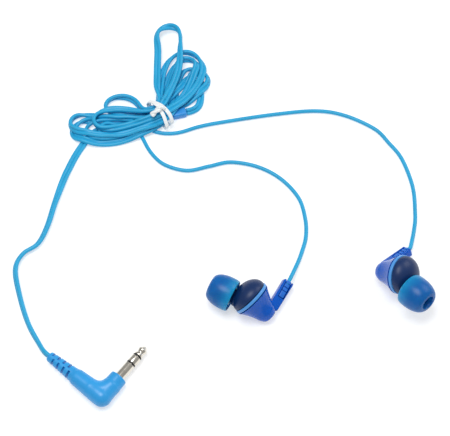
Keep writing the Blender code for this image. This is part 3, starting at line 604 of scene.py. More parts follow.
def keep_in_waist(place, waisted, loose):
    """Squeeze the strands into the tie's oval."""
    index = np.nonzero(waisted & (loose > 0))[0]
    local = place[index] - np.array(WAIST_CENTRE)
    along = local @ np.array(WAIST_ALONG)
    across = local @ np.array(WAIST_ACROSS)
    inside = np.abs(along) < WAIST_HALF_LENGTH
    half_width = TIE_INSIDE[0] - STRAND_RADIUS
    half_height = TIE_INSIDE[1] - STRAND_RADIUS
    size = np.sqrt((across / half_width) ** 2 + (local[:, 2] / half_height) ** 2)
    shrink = np.where(inside & (size > 1), 1 / np.maximum(size, 1e-6), 1.0)
    moved = np.outer(across * (shrink - 1), np.array(WAIST_ACROSS))
    moved[:, 2] += local[:, 2] * (shrink - 1)
    place[index] += moved


def keep_off_block(place, loose):
    """Keep the strands out of the splitter."""
    length, width, height = SPLITTER_SIZE
    ahead = np.array((math.cos(SPLITTER_HEADING), math.sin(SPLITTER_HEADING), 0.0))
    beside = np.array((-ahead[1], ahead[0], 0.0))
    local = place - np.array(SPLITTER_CENTRE)
    sizes = np.array((length / 2, width / 2, height)) + STRAND_RADIUS
    reaches = abs(local @ ahead), abs(local @ beside), local[:, 2]
    inside = np.stack([size - reach for size, reach in zip(sizes, reaches)], axis=1)
    deep = inside.min(axis=1)
    hit = (deep > 0) & (loose > 0)
    axis = inside.argmin(axis=1)
    for number, way in ((0, ahead), (1, beside)):
        chosen = hit & (axis == number)
        place[chosen] += np.outer(deep[chosen] * np.sign(local[chosen] @ way), way)
    place[hit & (axis == 2), 2] += deep[hit & (axis == 2)]


# ---- the cords


def eight_section():
    """Two round conductors joined by a low web."""
    web = math.acos(TWIN_OFFSET / STRAND_RADIUS * 0.99)
    half = []
    for k in range(STRAND_SIDES):
        angle = -(math.pi - web) + 2 * (math.pi - web) * k / (STRAND_SIDES - 1)
        half.append((TWIN_OFFSET + STRAND_RADIUS * math.cos(angle), STRAND_RADIUS * math.sin(angle)))
    return np.array(half + [(-x, -y) for x, y in half])


def round_section():
    """One round conductor."""
    angles = np.arange(STRAND_SIDES) * math.tau / STRAND_SIDES
    return STRAND_RADIUS * np.stack([np.cos(angles), np.sin(angles)], axis=1)


def carried_normals(ways):
    """Normals carried along a path without twist."""
    normal = np.cross(ways[0], (0.0, 0.0, 1.0))
    normal /= np.linalg.norm(normal)
    made = [normal]
    for way in ways[1:]:
        normal = normal - way * (normal @ way)
        normal = normal / np.linalg.norm(normal)
        made.append(normal)
    return np.array(made)


def strand_mesh(name, rails):
    """A tube swept along one rail, or the figure-eight of two rails side by side."""
    fine = [smooth_route(rail, FINE_STEP) for rail in rails]
    count = min(len(rail) for rail in fine)
    fine = [even_points(rail, count) for rail in fine]
    for rail in fine:
        rail[:, 2] = np.maximum(rail[:, 2], LOWEST_CENTRE)
    middle = sum(fine) / len(fine)
    ways = headings(middle)
    if len(fine) == 2:
        wide = fine[0] - fine[1]
        wide -= (wide * ways).sum(1)[:, None] * ways
        wide /= np.linalg.norm(wide, axis=1)[:, None]
        section = eight_section()
    else:
        wide = carried_normals(ways)
        section = round_section()
    tall = np.cross(ways, wide)
    rings = middle[:, None] + section[None, :, :1] * wide[:, None] + section[None, :, 1:] * tall[:, None]
    verts = rings.reshape(-1, 3)
    verts[:, 2] = np.maximum(verts[:, 2], 0.0)
    cord = add_mesh(name, verts.tolist(), tube_faces(count, len(section)))
    cord.data.materials.append(FINISHES["cord_jacket"])
    return cord, middle


def make_cords(exit_place, earpieces):
    """Lay out, settle and build the main cord and both leads, each with its middle line."""
    points, hank_points = main_cord_route(exit_place)
    centres = smooth_route(points, STRAND_STEP)
    hank_end = nearest(centres, np.array(points[hank_points]))
    tilts = main_tilts(centres, hank_end)
    centres[:, 2] = np.maximum(centres[:, 2], LOWEST_CENTRE + TWIN_OFFSET * abs(np.sin(tilts)))
    held = np.arange(len(centres)) > hank_end
    held[:2] = True
    chains = [*twin_rails(centres, tilts)]
    holds = [held, held]
    for side, route in LEAD_ROUTES.items():
        lead = smooth_route(lead_start(*earpieces[side][:2]) + metres(route), STRAND_STEP)
        start = np.array(route[LEAD_HANK_START - 1]) * MM
        held = np.arange(len(lead)) < nearest(lead, start)
        held[-1] = True
        chains.append(lead)
        holds.append(held)
    settled = settle(chains, holds)
    made = {"main_cord": strand_mesh("main_cord", settled[:2])}
    for side, chain in zip(LEAD_ROUTES, settled[2:]):
        made[side + "_lead"] = strand_mesh(side + "_lead", [chain])
    return made


def declare_cords(cords):
    """Hide the CAD's cord nodes and bake each cord's placement into its mesh."""
    main, path = cords["main_cord"]
    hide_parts("hank_left", "hank_right", "hank_waist", "tall_loop", "splitter_cord", "main_cord_run")
    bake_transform(main)
    for side, route in LEAD_ROUTES.items():
        lead, path = cords[side + "_lead"]
        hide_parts(f"{side}_lead_run", f"{side}_lead_end")
        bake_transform(lead)


# ---- shapes


def placed(name, data):
    """A new object in the scene from its data."""
    obj = bpy.data.objects.new(name, data)
    bpy.context.scene.collection.objects.link(obj)
    return obj


def add_mesh(name, verts, faces):
    """An object from points and faces."""
    mesh = bpy.data.meshes.new(name)
    mesh.from_pydata([tuple(v) for v in verts], [], faces)
    mesh.validate()
    mesh.shade_smooth()
    return placed(name, mesh)


def from_bmesh(name, shape):
    """An object from a bmesh, which is used up."""
    mesh = bpy.data.meshes.new(name)
    shape.to_mesh(mesh)
    shape.free()
    mesh.shade_smooth()
    return sharpened(placed(name, mesh))


def sharpened(obj, crease=40):
    """Keep the edges steeper than the crease angle sharp."""
    obj.data.set_sharp_from_angle(angle=math.radians(crease))
    return obj


def faced_outwards(obj):
    """Turn every face of a closed mesh outwards."""
    shape = bmesh.new()
    shape.from_mesh(obj.data)
    bmesh.ops.recalc_face_normals(shape, faces=shape.faces)
    shape.to_mesh(obj.data)
    shape.free()
    return obj


def tube_faces(rings, sides, base=0):
    """The faces of a tube of rings of points, with a cap on each end."""
    faces = []
    for i in range(rings - 1):
        a = base + i * sides
        for k in range(sides):
            n = (k + 1) % sides
            faces.append((a + k, a + n, a + sides + n, a + sides + k))
    last = base + (rings - 1) * sides
    faces.append(tuple(base + k for k in range(sides))[::-1])
    faces.append(tuple(last + k for k in range(sides)))
    return faces


def lathe(name, profile, place, steps=96, closed=False, crease=40):
    """A body turned about place's Z from (radius, height) points down its outer side."""
    verts = []
    rows = []
    for radius, height in profile:
        if radius < 1e-7:
            rows.append([len(verts)] * steps)
            verts.append(place @ Vector((0, 0, height)))
            continue
        rows.append([len(verts) + k for k in range(steps)])
        for k in range(steps):
            angle = math.tau * k / steps
            verts.append(place @ Vector((radius * math.cos(angle), radius * math.sin(angle), height)))
    faces = []
    pairs = list(zip(rows, rows[1:])) + ([(rows[-1], rows[0])] if closed else [])
    for upper, lower in pairs:
        for k in range(steps):
            n = (k + 1) % steps
            corners = [upper[k], lower[k], lower[n], upper[n]]
            faces.append(tuple(dict.fromkeys(corners)))
    return sharpened(add_mesh(name, verts, faces), crease)


def filleted(points, radius, closed=False, bits=4):
    """An outline with its corners rounded, each by radius or as much as its sides allow."""
    points = [Vector(point) for point in points]
    made = []
    count = len(points)
    for i, corner in enumerate(points):
        if not closed and i in (0, count - 1):
            made.append(tuple(corner))
            continue
        before = points[i - 1] - corner
        after = points[(i + 1) % count] - corner
        cut = min(radius, 0.45 * before.length, 0.45 * after.length)
        start = corner + before.normalized() * cut
        end = corner + after.normalized() * cut
        for k in range(bits + 1):
            t = k / bits
            made.append(tuple((1 - t) ** 2 * start + 2 * t * (1 - t) * corner + t * t * end))
    return made


def ellipse_quarter(inner, radius, top, base, points):
    """Points down a quarter ellipse, from (inner, top) out to (radius, base)."""
    angles = [math.pi / 2 * i / (points - 1) for i in range(points)]
    return [(inner + (radius - inner) * math.sin(a), base + (top - base) * math.cos(a)) for a in angles]


def rod(radius, top, bottom):
    """The profile of a plain round rod."""
    return [(0.0, top), (radius, top), (radius, bottom), (0.0, bottom)]


def axes_at(origin, z_axis, x_axis):
    """A frame at origin with its Z along z_axis and its X as near x_axis as it can be."""
    z = Vector(z_axis).normalized()
    x = Vector(x_axis)
    x = (x - z * x.dot(z)).normalized()
    turn = Matrix((x, z.cross(x), z)).transposed()
    return Matrix.Translation(Vector(origin)) @ turn.to_4x4()


def block(name, low, high, place, round_edge=0.0, bits=4):
    """A box between two corners, in place's axes, with rounded edges."""
    shape = bmesh.new()
    bmesh.ops.create_cube(shape, size=1.0)
    low = Vector(low)
    high = Vector(high)
    bmesh.ops.scale(shape, vec=high - low, verts=shape.verts)
    bmesh.ops.translate(shape, vec=(low + high) / 2, verts=shape.verts)
    if round_edge:
        round_edges(shape, round_edge, bits)
    bmesh.ops.transform(shape, matrix=place, verts=shape.verts)
    return from_bmesh(name, shape)


def round_edges(shape, radius, bits):
    """Round every edge of a bmesh."""
    bmesh.ops.bevel(
        shape, geom=shape.edges[:], offset=radius, segments=bits, profile=0.5, affect="EDGES"
    )


def boolean(obj, other, operation):
    """Cut or join other into obj for good, and remove other."""
    step = obj.modifiers.new("boolean", "BOOLEAN")
    step.object = other
    step.operation = operation
    step.solver = "EXACT"
    settle_modifiers(obj)
    bpy.data.objects.remove(other, do_unlink=True)
    return obj


def settle_modifiers(obj, crease=40):
    """Replace an object's mesh by what its modifiers make of it."""
    bpy.context.view_layer.update()
    evaluated = obj.evaluated_get(bpy.context.evaluated_depsgraph_get())
    mesh = bpy.data.meshes.new_from_object(evaluated)
    obj.modifiers.clear()
    obj.data = mesh
    mesh.shade_smooth()
    return sharpened(obj, crease)


def softened(obj):
    """Remesh to even voxels and smooth, so that joined shapes flow into each other."""
    remesh = obj.modifiers.new("remesh", "REMESH")
    remesh.mode = "VOXEL"
    remesh.voxel_size = SOFT_VOXEL
    smooth = obj.modifiers.new("smooth", "SMOOTH")
    smooth.factor = 0.5
    smooth.iterations = SOFT_ROUNDS
    return settle_modifiers(obj, 180)


# ---- finishes


def principled(name, colour, roughness, metallic=0.0, **more):
    """A Principled material, with more as its other inputs' values."""
    material = bpy.data.materials.new(name)
    material.use_nodes = True
    shader = material.node_tree.nodes["Principled BSDF"]
    shader.inputs["Base Color"].default_value = (*colour, 1.0)
    shader.inputs["Roughness"].default_value = roughness
    shader.inputs["Metallic"].default_value = metallic
    for key, value in more.items():
        shader.inputs[key.replace("_", " ")].default_value = value
    return material, shader


def shader_node(tree, kind, **values):
    """A shader node with some of its inputs' values."""
    made = tree.nodes.new(kind)
    for key, value in values.items():
        made.inputs[key.replace("_", " ")].default_value = value
    return made


def colour_mix(tree):
    """A node that mixes two colours."""
    mix = tree.nodes.new("ShaderNodeMix")
    mix.data_type = "RGBA"
    return mix


def grained(name, colour, roughness, grain=3000.0, depth=0.03, spread=0.06, shade=0.12, **more):
    """A moulded finish: fine grain in relief, with its gloss and shade slightly uneven."""
    material, shader = principled(name, colour, roughness, **more)
    tree = material.node_tree
    where = tree.nodes.new("ShaderNodeTexCoord")
    fine = shader_node(tree, "ShaderNodeTexNoise", Scale=grain, Detail=3.0)
    broad = shader_node(tree, "ShaderNodeTexNoise", Scale=grain / 12, Detail=4.0)
    bump = shader_node(tree, "ShaderNodeBump", Strength=0.35, Distance=depth * MM)
    gloss = shader_node(tree, "ShaderNodeMapRange", To_Min=roughness - spread, To_Max=roughness + spread)
    tone = colour_mix(tree)
    tone.inputs["A"].default_value = (*[c * (1 - shade) for c in colour], 1.0)
    tone.inputs["B"].default_value = (*[min(1.0, c * (1 + shade)) for c in colour], 1.0)
    link = tree.links.new
    link(where.outputs["Object"], fine.inputs["Vector"])
    link(where.outputs["Object"], broad.inputs["Vector"])
    link(fine.outputs["Fac"], bump.inputs["Height"])
    link(broad.outputs["Fac"], gloss.inputs["Value"])
    link(broad.outputs["Fac"], tone.inputs["Factor"])
    link(gloss.outputs["Result"], shader.inputs["Roughness"])
    link(tone.outputs["Result"], shader.inputs["Base Color"])
    link(bump.outputs["Normal"], shader.inputs["Normal"])
    return material


def silicone():
    """Blue silicone with a painted glow: paler wherever the mesh's attribute says that light comes through the
    thin skirt.
    """
    material = grained(
        "tip_silicone", (0.002, 0.17, 0.56), 0.34, 1800, 0.012, spread=0.05,
        Transmission_Weight=0.35, IOR=1.42, Specular_IOR_Level=0.3,
        Subsurface_Weight=0.3, Subsurface_Scale=1.0 * MM, Subsurface_Radius=(0.3, 0.7, 1.0),
    )
    tree = material.node_tree
    shader = tree.nodes["Principled BSDF"]
    body_tone = shader.inputs["Base Color"].links[0].from_socket
    skirt_glow = tree.nodes.new("ShaderNodeAttribute")
    skirt_glow.attribute_name = "skirt_glow"
    # Painted glow of light through the thin skirt: the colour is mixed towards this pale blue by the attribute
    glow_tone = colour_mix(tree)
    glow_tone.inputs["B"].default_value = (0.01, 0.50, 0.86, 1.0)
    tree.links.new(skirt_glow.outputs["Fac"], glow_tone.inputs["Factor"])
    tree.links.new(body_tone, glow_tone.inputs["A"])
    tree.links.new(glow_tone.outputs["Result"], shader.inputs["Base Color"])
    return material


def clear_blue_plastic():
    """The rear covers' plastic, which lets a little light through."""
    return grained(
        "clear_blue_plastic", (0.002, 0.125, 0.66), 0.16, 2400, 0.006, spread=0.05,
        Transmission_Weight=0.3, IOR=1.45, Specular_IOR_Level=0.3,
    )


def plastic(name, colour, roughness, grain, depth, shine=0.5):
    """A moulded plastic, duller as its shine goes down."""
    return grained(name, colour, roughness, grain, depth, Specular_IOR_Level=shine)


def metal(name, colour, roughness, grain, depth):
    """A finely worked metal."""
    return grained(name, colour, roughness, grain, depth, metallic=1.0)


def make_finishes():
    """Every material slot's finish."""
    return {
        "cord_jacket": plastic("cord_jacket", (0.016, 0.37, 0.66), 0.40, 2200, 0.02, 0.4),
        "silicone": silicone(),
        "navy_plastic": plastic("navy_plastic", (0.003, 0.024, 0.105), 0.40, 4200, 0.02, 0.35),
        "accent_plastic": plastic("accent_plastic", (0.07, 0.30, 0.72), 0.32, 3000, 0.01),
        "clear_blue_plastic": clear_blue_plastic(),
        "bushing_plastic": plastic("bushing_plastic", (0.008, 0.14, 0.60), 0.42, 3000, 0.02),
        "plug_plastic": plastic("plug_plastic", (0.025, 0.33, 0.74), 0.34, 2600, 0.02),
        "splitter_plastic": plastic("splitter_plastic", (0.03, 0.28, 0.70), 0.36, 2600, 0.02),
        "insulator": plastic("black_insulator", (0.012, 0.012, 0.012), 0.4, 5000, 0.01),
        "nickel": metal("nickel_contact", (0.72, 0.68, 0.60), 0.2, 6000, 0.004),
        "plated_steel": metal("plated_steel", (0.55, 0.55, 0.55), 0.32, 6000, 0.006),
        "magnet": metal("sintered_magnet", (0.30, 0.30, 0.32), 0.38, 7000, 0.01),
        "coil_copper": metal("coil_copper", (0.70, 0.30, 0.12), 0.35, 9000, 0.02),
        "diaphragm_film": plastic("diaphragm_film", (0.60, 0.62, 0.60), 0.22, 4000, 0.004),
        "frame_plastic": plastic("frame_plastic", (0.03, 0.03, 0.03), 0.5, 4000, 0.02),
        "terminal_board": plastic("terminal_board", (0.02, 0.15, 0.05), 0.45, 5000, 0.01),
        "damper_felt": grained("damper_felt", (0.65, 0.65, 0.60), 0.95, 6000, 0.06, spread=0.03),
        "wire_mesh": metal("wire_mesh", (0.35, 0.35, 0.36), 0.4, 8000, 0.01),
        "tie_strip": grained("tie_strip", (0.84, 0.86, 0.86), 0.34, 1500, 0.03, shade=0.03),
    }


def finish_piece(obj, node_name, body, slot, name=None):
    """Name and paint a piece, hang it from the empty of what carries it, and hide the CAD node that it stands for.
    """
    obj.name = name or f"{node_name}_shell"
    obj.data.materials.clear()
    obj.data.materials.append(FINISHES[slot])
    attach(obj, body)
    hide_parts(node_name)
    return obj


def paint_cad_nodes():
    """Give each CAD node the finish of its material slot."""
    for part in frame["record"]["subparts"]:
        mesh = frame["nodes"][part["node"]].data
        mesh.materials.clear()
        mesh.materials.append(FINISHES[part["material_slot"]])


# ---- earpieces


def earpiece_axes(side):
    """An earpiece's hand, its frame, from the CAD's ring and driver axis, and its nozzle's frame."""
    hand = 1 if side == "left" else -1
    low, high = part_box(f"{side}_accent_ring")
    front = JOINTS[f"{side}_driver_stroke"]["axis"]
    place = axes_at((low + high) / 2, front, STEM_WAY[side])
    root = place @ Vector((NOZZLE_ROOT[0], hand * NOZZLE_ROOT[1], NOZZLE_ROOT[2]))
    out = JOINTS[f"{side}_tip_pull"]["axis"]
    return hand, place, axes_at(root, out, place.to_3x3().col[0])


def stem_axes(hand, place):
    """The stem's frame: Z out along it, from its top, and X out of its slot."""
    return place @ axes_at(STEM_TOP, STEM_TOP - STEM_ROOT, (0.0, -hand, 0.0))


def front_housing(side, place, nozzle):
    """The domed front shell with its locating lip and the barbed nozzle."""
    dome = ellipse_quarter(0.0, DOME_RADIUS, DOME_BASE + DOME_DEPTH, DOME_BASE + 0.25 * MM, 40)
    corners = [(DOME_RADIUS, DOME_BASE), (LIP_RADIUS, DOME_BASE), (LIP_RADIUS, LIP_END), (0.0, LIP_END)]
    rim = filleted([dome[-1]] + corners, RIM_ROUND)
    housing = lathe(f"{side}_dome", dome + rim[1:], place)
    spout = [
        (0.0, NOZZLE_END),
        (NOZZLE_RADIUS, NOZZLE_END),
        (BARB_RADIUS, NOZZLE_END - 0.4 * MM),
        (BARB_RADIUS, NOZZLE_END - 1.1 * MM),
        (NOZZLE_RADIUS, NOZZLE_END - 1.4 * MM),
        (NOZZLE_RADIUS, 4.9 * MM),
        (SPOUT_FOOT_RADIUS, 4.1 * MM),
        (SPOUT_FOOT_RADIUS, SPOUT_FOOT),
        (0.0, SPOUT_FOOT),
    ]
    boolean(housing, lathe("spout", filleted(spout, NOZZLE_ROUND), nozzle), "UNION")
    hollow = ellipse_quarter(0.0, LIP_BORE, DOME_BASE + DOME_DEPTH - WALL, DOME_BASE + WALL, 16)
    hollow += [(LIP_BORE, 2 * LIP_END), (0.0, 2 * LIP_END)]
    boolean(housing, lathe("hollow", hollow, place), "DIFFERENCE")
    bore = lathe("bore", rod(NOZZLE_BORE, NOZZLE_END + MM, BORE_FOOT), nozzle)
    boolean(housing, bore, "DIFFERENCE")
    return finish_piece(housing, f"{side}_front_housing", f"{side}_earpiece", "navy_plastic")


def accent_ring(side, place):
    """The light ring between the two shells."""
    inner = LIP_RADIUS + GAP
    corners = [(RING_RADIUS, RING_HALF), (RING_RADIUS, -RING_HALF), (inner, -RING_HALF), (inner, RING_HALF)]
    ring = lathe(f"{side}_ring", filleted(corners, RING_ROUND, closed=True), place, closed=True)
    return finish_piece(ring, f"{side}_accent_ring", f"{side}_earpiece", "accent_plastic")


def cover_outline(inset, front, end):
    """The rear cover's slightly waisted side, from its rim to its tail, moved in by inset."""
    slope = (RING_RADIUS - COVER_END_RADIUS) / COVER_LENGTH
    points = [(RING_RADIUS - inset, front)]
    for i in range(1, COVER_STEPS + 1):
        share = i / COVER_STEPS
        depth = share * (-DOME_BASE - COVER_TAIL - end)
        radius = RING_RADIUS - slope * depth - 4 * COVER_WAIST * share * (1 - share)
        points.append((radius - inset, -DOME_BASE - depth))
    return points


def rear_cover(side, hand, place):
    """The translucent hollow rear cone with the slotted cord stem."""
    outside = cover_outline(0.0, -DOME_BASE, COVER_END)
    tail_corner = (COVER_END_RADIUS - 0.2 * MM, COVER_END)
    tail = filleted([outside[-1], tail_corner, (0.0, COVER_END)], 0.45 * COVER_TAIL)
    face = filleted([(0.0, -DOME_BASE), outside[0], outside[1]], RIM_ROUND)
    cover = lathe(f"{side}_cover", face[:-1] + outside[1:-1] + tail, place)
    stem_place = stem_axes(hand, place)
    boolean(cover, stem(stem_place), "UNION")
    inner_floor = COVER_END + COVER_FLOOR
    hollow = [(0.0, 0.0)] + cover_outline(WALL, 0.0, inner_floor) + [(0.0, inner_floor)]
    boolean(cover, lathe("hollow", hollow, place), "DIFFERENCE")
    low = (SLOT_FLOOR, -SLOT_WIDTH / 2, -SLOT_LENGTH)
    high = (STEM_DEPTH, SLOT_WIDTH / 2, MM)
    boolean(cover, block("slot", low, high, stem_place, SLOT_ROUND), "DIFFERENCE")
    return finish_piece(cover, f"{side}_rear_cover", f"{side}_earpiece", "clear_blue_plastic")


def stem(stem_place):
    """The flat tapered stem with rounded edges."""
    outline = [
        (-STEM_HALF_TOP, 0.0),
        (-STEM_HALF_ROOT, -STEM_LENGTH),
        (STEM_HALF_ROOT - MM, -STEM_LENGTH),
        (STEM_HALF_TOP, 0.0),
    ]
    shape = bmesh.new()
    face = shape.faces.new([shape.verts.new((-STEM_DEPTH / 2, y, z)) for y, z in outline])
    made = bmesh.ops.extrude_face_region(shape, geom=[face])["geom"]
    moved = [v for v in made if isinstance(v, bmesh.types.BMVert)]
    bmesh.ops.translate(shape, vec=(STEM_DEPTH, 0, 0), verts=moved)
    bmesh.ops.recalc_face_normals(shape, faces=shape.faces)
    round_edges(shape, STEM_ROUND, 5)
    bmesh.ops.transform(shape, matrix=stem_place, verts=shape.verts)
    return from_bmesh("stem", shape)


def stem_bushing(side, hand, place):
    """The soft sleeve that grips the lead in the stem, with cross grooves that let it bend."""
    stem_place = stem_axes(hand, place)
    low = (SLOT_FLOOR + GAP, -SLOT_WIDTH / 2 + GAP, -SLOT_LENGTH + GAP)
    high = (STEM_DEPTH / 2 - FINE_GAP, SLOT_WIDTH / 2 - GAP, 0.0)
    sleeve = block(f"{side}_bushing", low, high, stem_place, BUSHING_ROUND)
    for i in range(GROOVES):
        z = GROOVE_START - i * GROOVE_PITCH
        low = (GROOVE_FLOOR, -2 * MM, z - GROOVE_HALF)
        high = (2.4 * MM, 2 * MM, z + GROOVE_HALF)
        boolean(sleeve, block("groove", low, high, stem_place), "DIFFERENCE")
    return finish_piece(sleeve, f"{side}_stem_bushing", f"{side}_earpiece", "bushing_plastic")


def eartip(side, nozzle):
    """The silicone tip: a soft umbrella, its sleeve, and its rolled mouth."""
    outer = ellipse_quarter(TIP_FACE_RADIUS, TIP_RADIUS, TIP_FRONT - 0.12 * MM, TIP_WIDEST, 30)
    edge = [
        (TIP_RADIUS - 0.03 * MM, TIP_REAR + 1.2 * MM),
        (TIP_RADIUS - 0.22 * MM, TIP_REAR + 0.15 * MM),
        (TIP_RADIUS - 0.4 * MM, TIP_REAR),
        (TIP_RADIUS - 0.6 * MM, TIP_REAR + 0.15 * MM),
    ]
    inner = ellipse_quarter(3.6 * MM, TIP_RADIUS - 0.55 * MM, TIP_WIDEST + 4.0 * MM, TIP_WIDEST, 14)[::-1]
    core = [
        inner[-1],
        (SLEEVE_RADIUS, TIP_WIDEST + 3.6 * MM),
        (SLEEVE_RADIUS, SLEEVE_REAR),
        (SLEEVE_BORE, SLEEVE_REAR),
        (SLEEVE_BORE, NOZZLE_END + 0.4 * MM),
        (TIP_MOUTH - 0.6 * MM, NOZZLE_END + 0.7 * MM),
        (TIP_MOUTH, TIP_FRONT - 0.35 * MM),
        (TIP_MOUTH + 0.3 * MM, TIP_FRONT),
        outer[0],
    ]
    profile = outer + edge + inner[:-1] + filleted(core, 0.2 * MM)[1:-1]
    tip = lathe(f"{side}_tip", profile, nozzle, closed=True, crease=60)
    # Painted glow of light through the thin skirt, written on the mesh for the silicone's colour
    paint_skirt_glow(tip, nozzle)
    return finish_piece(tip, f"{side}_eartip", f"{side}_tip", "silicone")


def paint_skirt_glow(tip, nozzle):
    """Write at each point how strongly the painted glow of light through the thin wall shows: most at its skirt's
    edge.
    """
    skirt_glow = tip.data.attributes.new("skirt_glow", "FLOAT", "POINT")
    into = nozzle.inverted()
    for i, vertex in enumerate(tip.data.vertices):
        along = (into @ vertex.co).z - TIP_REAR
        skirt_glow.data[i].value = SKIRT_GLOW_MOST * max(0.0, 1.0 - along / SKIRT_GLOW_REACH) ** 1.5


# ---- plug


def plug_axes():
    """The frames of the cord's arm, from the corner, and of the jack, from its shoulder."""
    jack_way = Vector((math.cos(PLUG_HEADING), math.sin(PLUG_HEADING), -PLUG_DIP))
    cord_way = Vector((-jack_way.y, jack_way.x, -PLUG_DIP))
    cord = axes_at(PLUG_CORNER, cord_way, jack_way)
    out = cord.to_3x3().col[0]
    return cord, axes_at(PLUG_CORNER + JACK_ARM * out, out, cord_way)


def plug_body(cord, jack):
    """The right-angle overmould: two arms, a filled inner corner and the slotted relief."""
    start, end = RELIEF_RADII
    length = CORD_ARM + RELIEF_LENGTH
    arm = [
        (0.0, length),
        (end - 0.2 * MM, length),
        (end, length - 0.3 * MM),
        (start, CORD_ARM + 0.4 * MM),
        (start + 0.1 * MM, CORD_ARM),
        (2.95 * MM, CORD_ARM - 0.7 * MM),
        (3.2 * MM, 0.55 * CORD_ARM),
        (PLUG_RADIUS, 2.0 * MM),
    ]
    arm += ellipse_quarter(0.0, PLUG_RADIUS, -PLUG_RADIUS, 0.0, 16)[::-1]
    body = lathe("plug_arm", arm, cord)
    wide = PLUG_RADIUS - 0.15 * MM
    shoulder = [(0.0, 0.0), (JACK_ARM_RADIUS, 0.0), (wide, -JACK_ARM), (0.0, -JACK_ARM)]
    boolean(body, lathe("jack_arm", shoulder, jack), "UNION")
    boolean(body, elbow(cord, ELBOW_BEND, PLUG_RADIUS - 0.12 * MM), "UNION")
    softened(body)
    boolean(body, relief_slots(cord), "DIFFERENCE")
    boolean(body, lathe("socket", rod(SOCKET_RADIUS, MM, -SOCKET_DEPTH), jack), "DIFFERENCE")
    return finish_piece(body, "plug_body", "plug", "plug_plastic")


def relief_slots(cord):
    """Cutters for the relief's slots: half rings, staggered on the two sides of a thin spine."""
    pitch = 0.82 * RELIEF_LENGTH / RELIEF_SLOTS
    size = Vector((4 * MM, 8 * MM, RELIEF_SLOT_SHARE * pitch))
    shape = bmesh.new()
    for side in (-1, 1):
        for i in range(RELIEF_SLOTS):
            along = CORD_ARM + (0.7 + i + 0.25 * (side + 1)) * pitch
            made = bmesh.ops.create_cube(shape, size=1.0)["verts"]
            bmesh.ops.scale(shape, vec=size, verts=made)
            bmesh.ops.translate(shape, vec=(side * (RELIEF_SPINE + size.x / 2), 0, along), verts=made)
    bmesh.ops.transform(shape, matrix=cord, verts=shape.verts)
    slots = from_bmesh("slots", shape)
    core = rod(CORE_RADIUS, CORD_ARM + 1.5 * RELIEF_LENGTH, 0.5 * CORD_ARM)
    return boolean(slots, lathe("core", core, cord, steps=32), "DIFFERENCE")


def elbow(cord, bend, radius, bits=16, sides=48):
    """A quarter ring that fills the corner between the arms with a round inside."""
    centre = Vector((bend, 0.0, bend))
    verts = []
    for i in range(bits + 1):
        angle = math.pi + math.pi / 2 * i / bits
        out = Vector((math.cos(angle), 0.0, math.sin(angle)))
        for k in range(sides):
            turn = math.tau * k / sides
            beside = Vector((0, radius * math.sin(turn), 0))
            verts.append(cord @ (centre + out * (bend + radius * math.cos(turn)) + beside))
    return faced_outwards(add_mesh("elbow", verts, tube_faces(bits + 1, sides)))


def jack_contacts(jack):
    """The turned contacts and the insulators between them, with softened edges."""
    made = []
    for name, (slot, rounding, points) in JACK_PARTS.items():
        ring = points[0][0] > 0
        profile = filleted([(radius * MM, out * MM) for radius, out in points], rounding * MM, ring)
        made.append(finish_piece(lathe(name, profile, jack, closed=ring), name, "plug", slot))
    return made


# ---- splitter and tie


def y_splitter():
    """The rounded block where the two leads join."""
    length, width, height = SPLITTER_SIZE
    place = Matrix.Translation(SPLITTER_CENTRE) @ Matrix.Rotation(SPLITTER_HEADING, 4, "Z")
    low = (-length / 2, -width / 2, 0.0)
    high = (length / 2, width / 2, height)
    body = block("splitter_block", low, high, place, SPLITTER_ROUND, 6)
    return finish_piece(body, "y_splitter", "cable", "splitter_plastic")


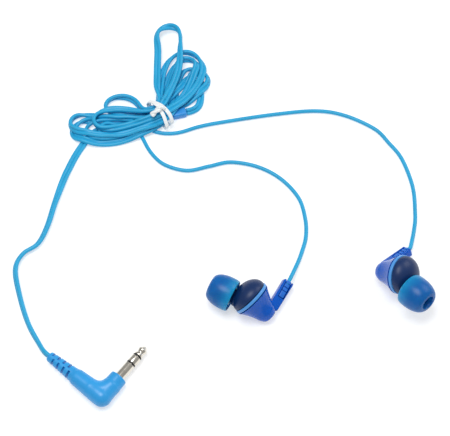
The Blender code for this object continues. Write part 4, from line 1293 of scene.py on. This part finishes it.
def tie():
    """Two turns of plastic strip round the waist, parting below the knot, and its twisted ends."""
    turns = smooth_route([(angle, along, 0.0) for angle, along in TIE_TURNS], 5.0)
    up = Vector((0.0, 0.0, 1.0))
    stations = []
    for i, (angle, along, _) in enumerate(turns):
        angle = math.radians(angle)
        grown = TIE_LAP * i / len(turns) + TIE_SLACK * max(0.0, -along) / 2
        half_width = TIE_INSIDE[0] + TIE_REACH + grown
        half_height = TIE_INSIDE[1] + TIE_REACH + grown
        across = WAIST_ACROSS * half_width * math.cos(angle)
        centre = WAIST_CENTRE + across + up * half_height * math.sin(angle)
        centre.z = max(centre.z, 0.5 * TIE_THICKNESS + FLOOR_CLEARANCE)
        out = WAIST_ACROSS * math.cos(angle) / half_width + up * math.sin(angle) / half_height
        stations.append((centre + WAIST_ALONG * along * MM, WAIST_ALONG, out.normalized()))
    strip = ribbon("twist_tie_strip", stations, TIE_WIDTH, TIE_THICKNESS)
    finish_piece(strip, "twist_tie", "cable", "tie_strip", "twist_tie_strip")
    ends = rope("twist_tie_ends", metres(TIE_ENDS), TIE_END_RADIUS, TIE_END_OFFSET, TIE_END_TWISTS)
    finish_piece(ends, "twist_tie", "cable", "tie_strip", "twist_tie_ends")


def rope(name, points, radius, offset, twists, sides=20):
    """Two round strips twisted together along a path, with round ends."""
    path = smooth_route(points, ROPE_STEP)
    ways = headings(path)
    wide = carried_normals(ways)
    tall = np.cross(ways, wide)
    count = len(path)
    from_end = (count - 1 - np.arange(count)) * ROPE_STEP
    round_off = np.sqrt(1 - np.clip(1 - from_end / radius, 0, 1) ** 2)
    verts = []
    faces = []
    for phase in (0.0, math.pi):
        faces += tube_faces(count, sides, len(verts))
        for i in range(count):
            turn = phase + math.tau * twists * i / count
            middle = path[i] + offset * (math.cos(turn) * wide[i] + math.sin(turn) * tall[i])
            reach = radius * max(0.05, round_off[i])
            for k in range(sides):
                angle = math.tau * k / sides
                verts.append(middle + reach * (math.cos(angle) * wide[i] + math.sin(angle) * tall[i]))
    return add_mesh(name, verts, faces)


def ribbon(name, stations, width, thickness):
    """A strip with round edges, swept through stations of (centre, across, out)."""
    corners = [(x * width / 2, y * thickness / 2) for x, y in ((1, 1), (-1, 1), (-1, -1), (1, -1))]
    outline = filleted(corners, 0.45 * thickness, closed=True, bits=3)
    verts = [centre + across * x + out * y for centre, across, out in stations for x, y in outline]
    return faced_outwards(add_mesh(name, verts, tube_faces(len(stations), len(outline))))


# ---- the whole

camera()
studio()
FINISHES = make_finishes()
cord_axes, jack_axes = plug_axes()
plug_exit = cord_axes @ Matrix.Translation((0, 0, CORD_ARM + RELIEF_LENGTH - MM))
earpieces = {side: earpiece_axes(side) for side in LEAD_ROUTES}
cords = make_cords(plug_exit, earpieces)
splitter = y_splitter()
tie()
plug_parts = [plug_body(cord_axes, jack_axes)] + jack_contacts(jack_axes)
declare_cords(cords)
for side, (hand, place, nozzle) in earpieces.items():
    front_housing(side, place, nozzle)
    accent_ring(side, place)
    rear_cover(side, hand, place)
    stem_bushing(side, hand, place)
    eartip(side, nozzle)
paint_cad_nodes()
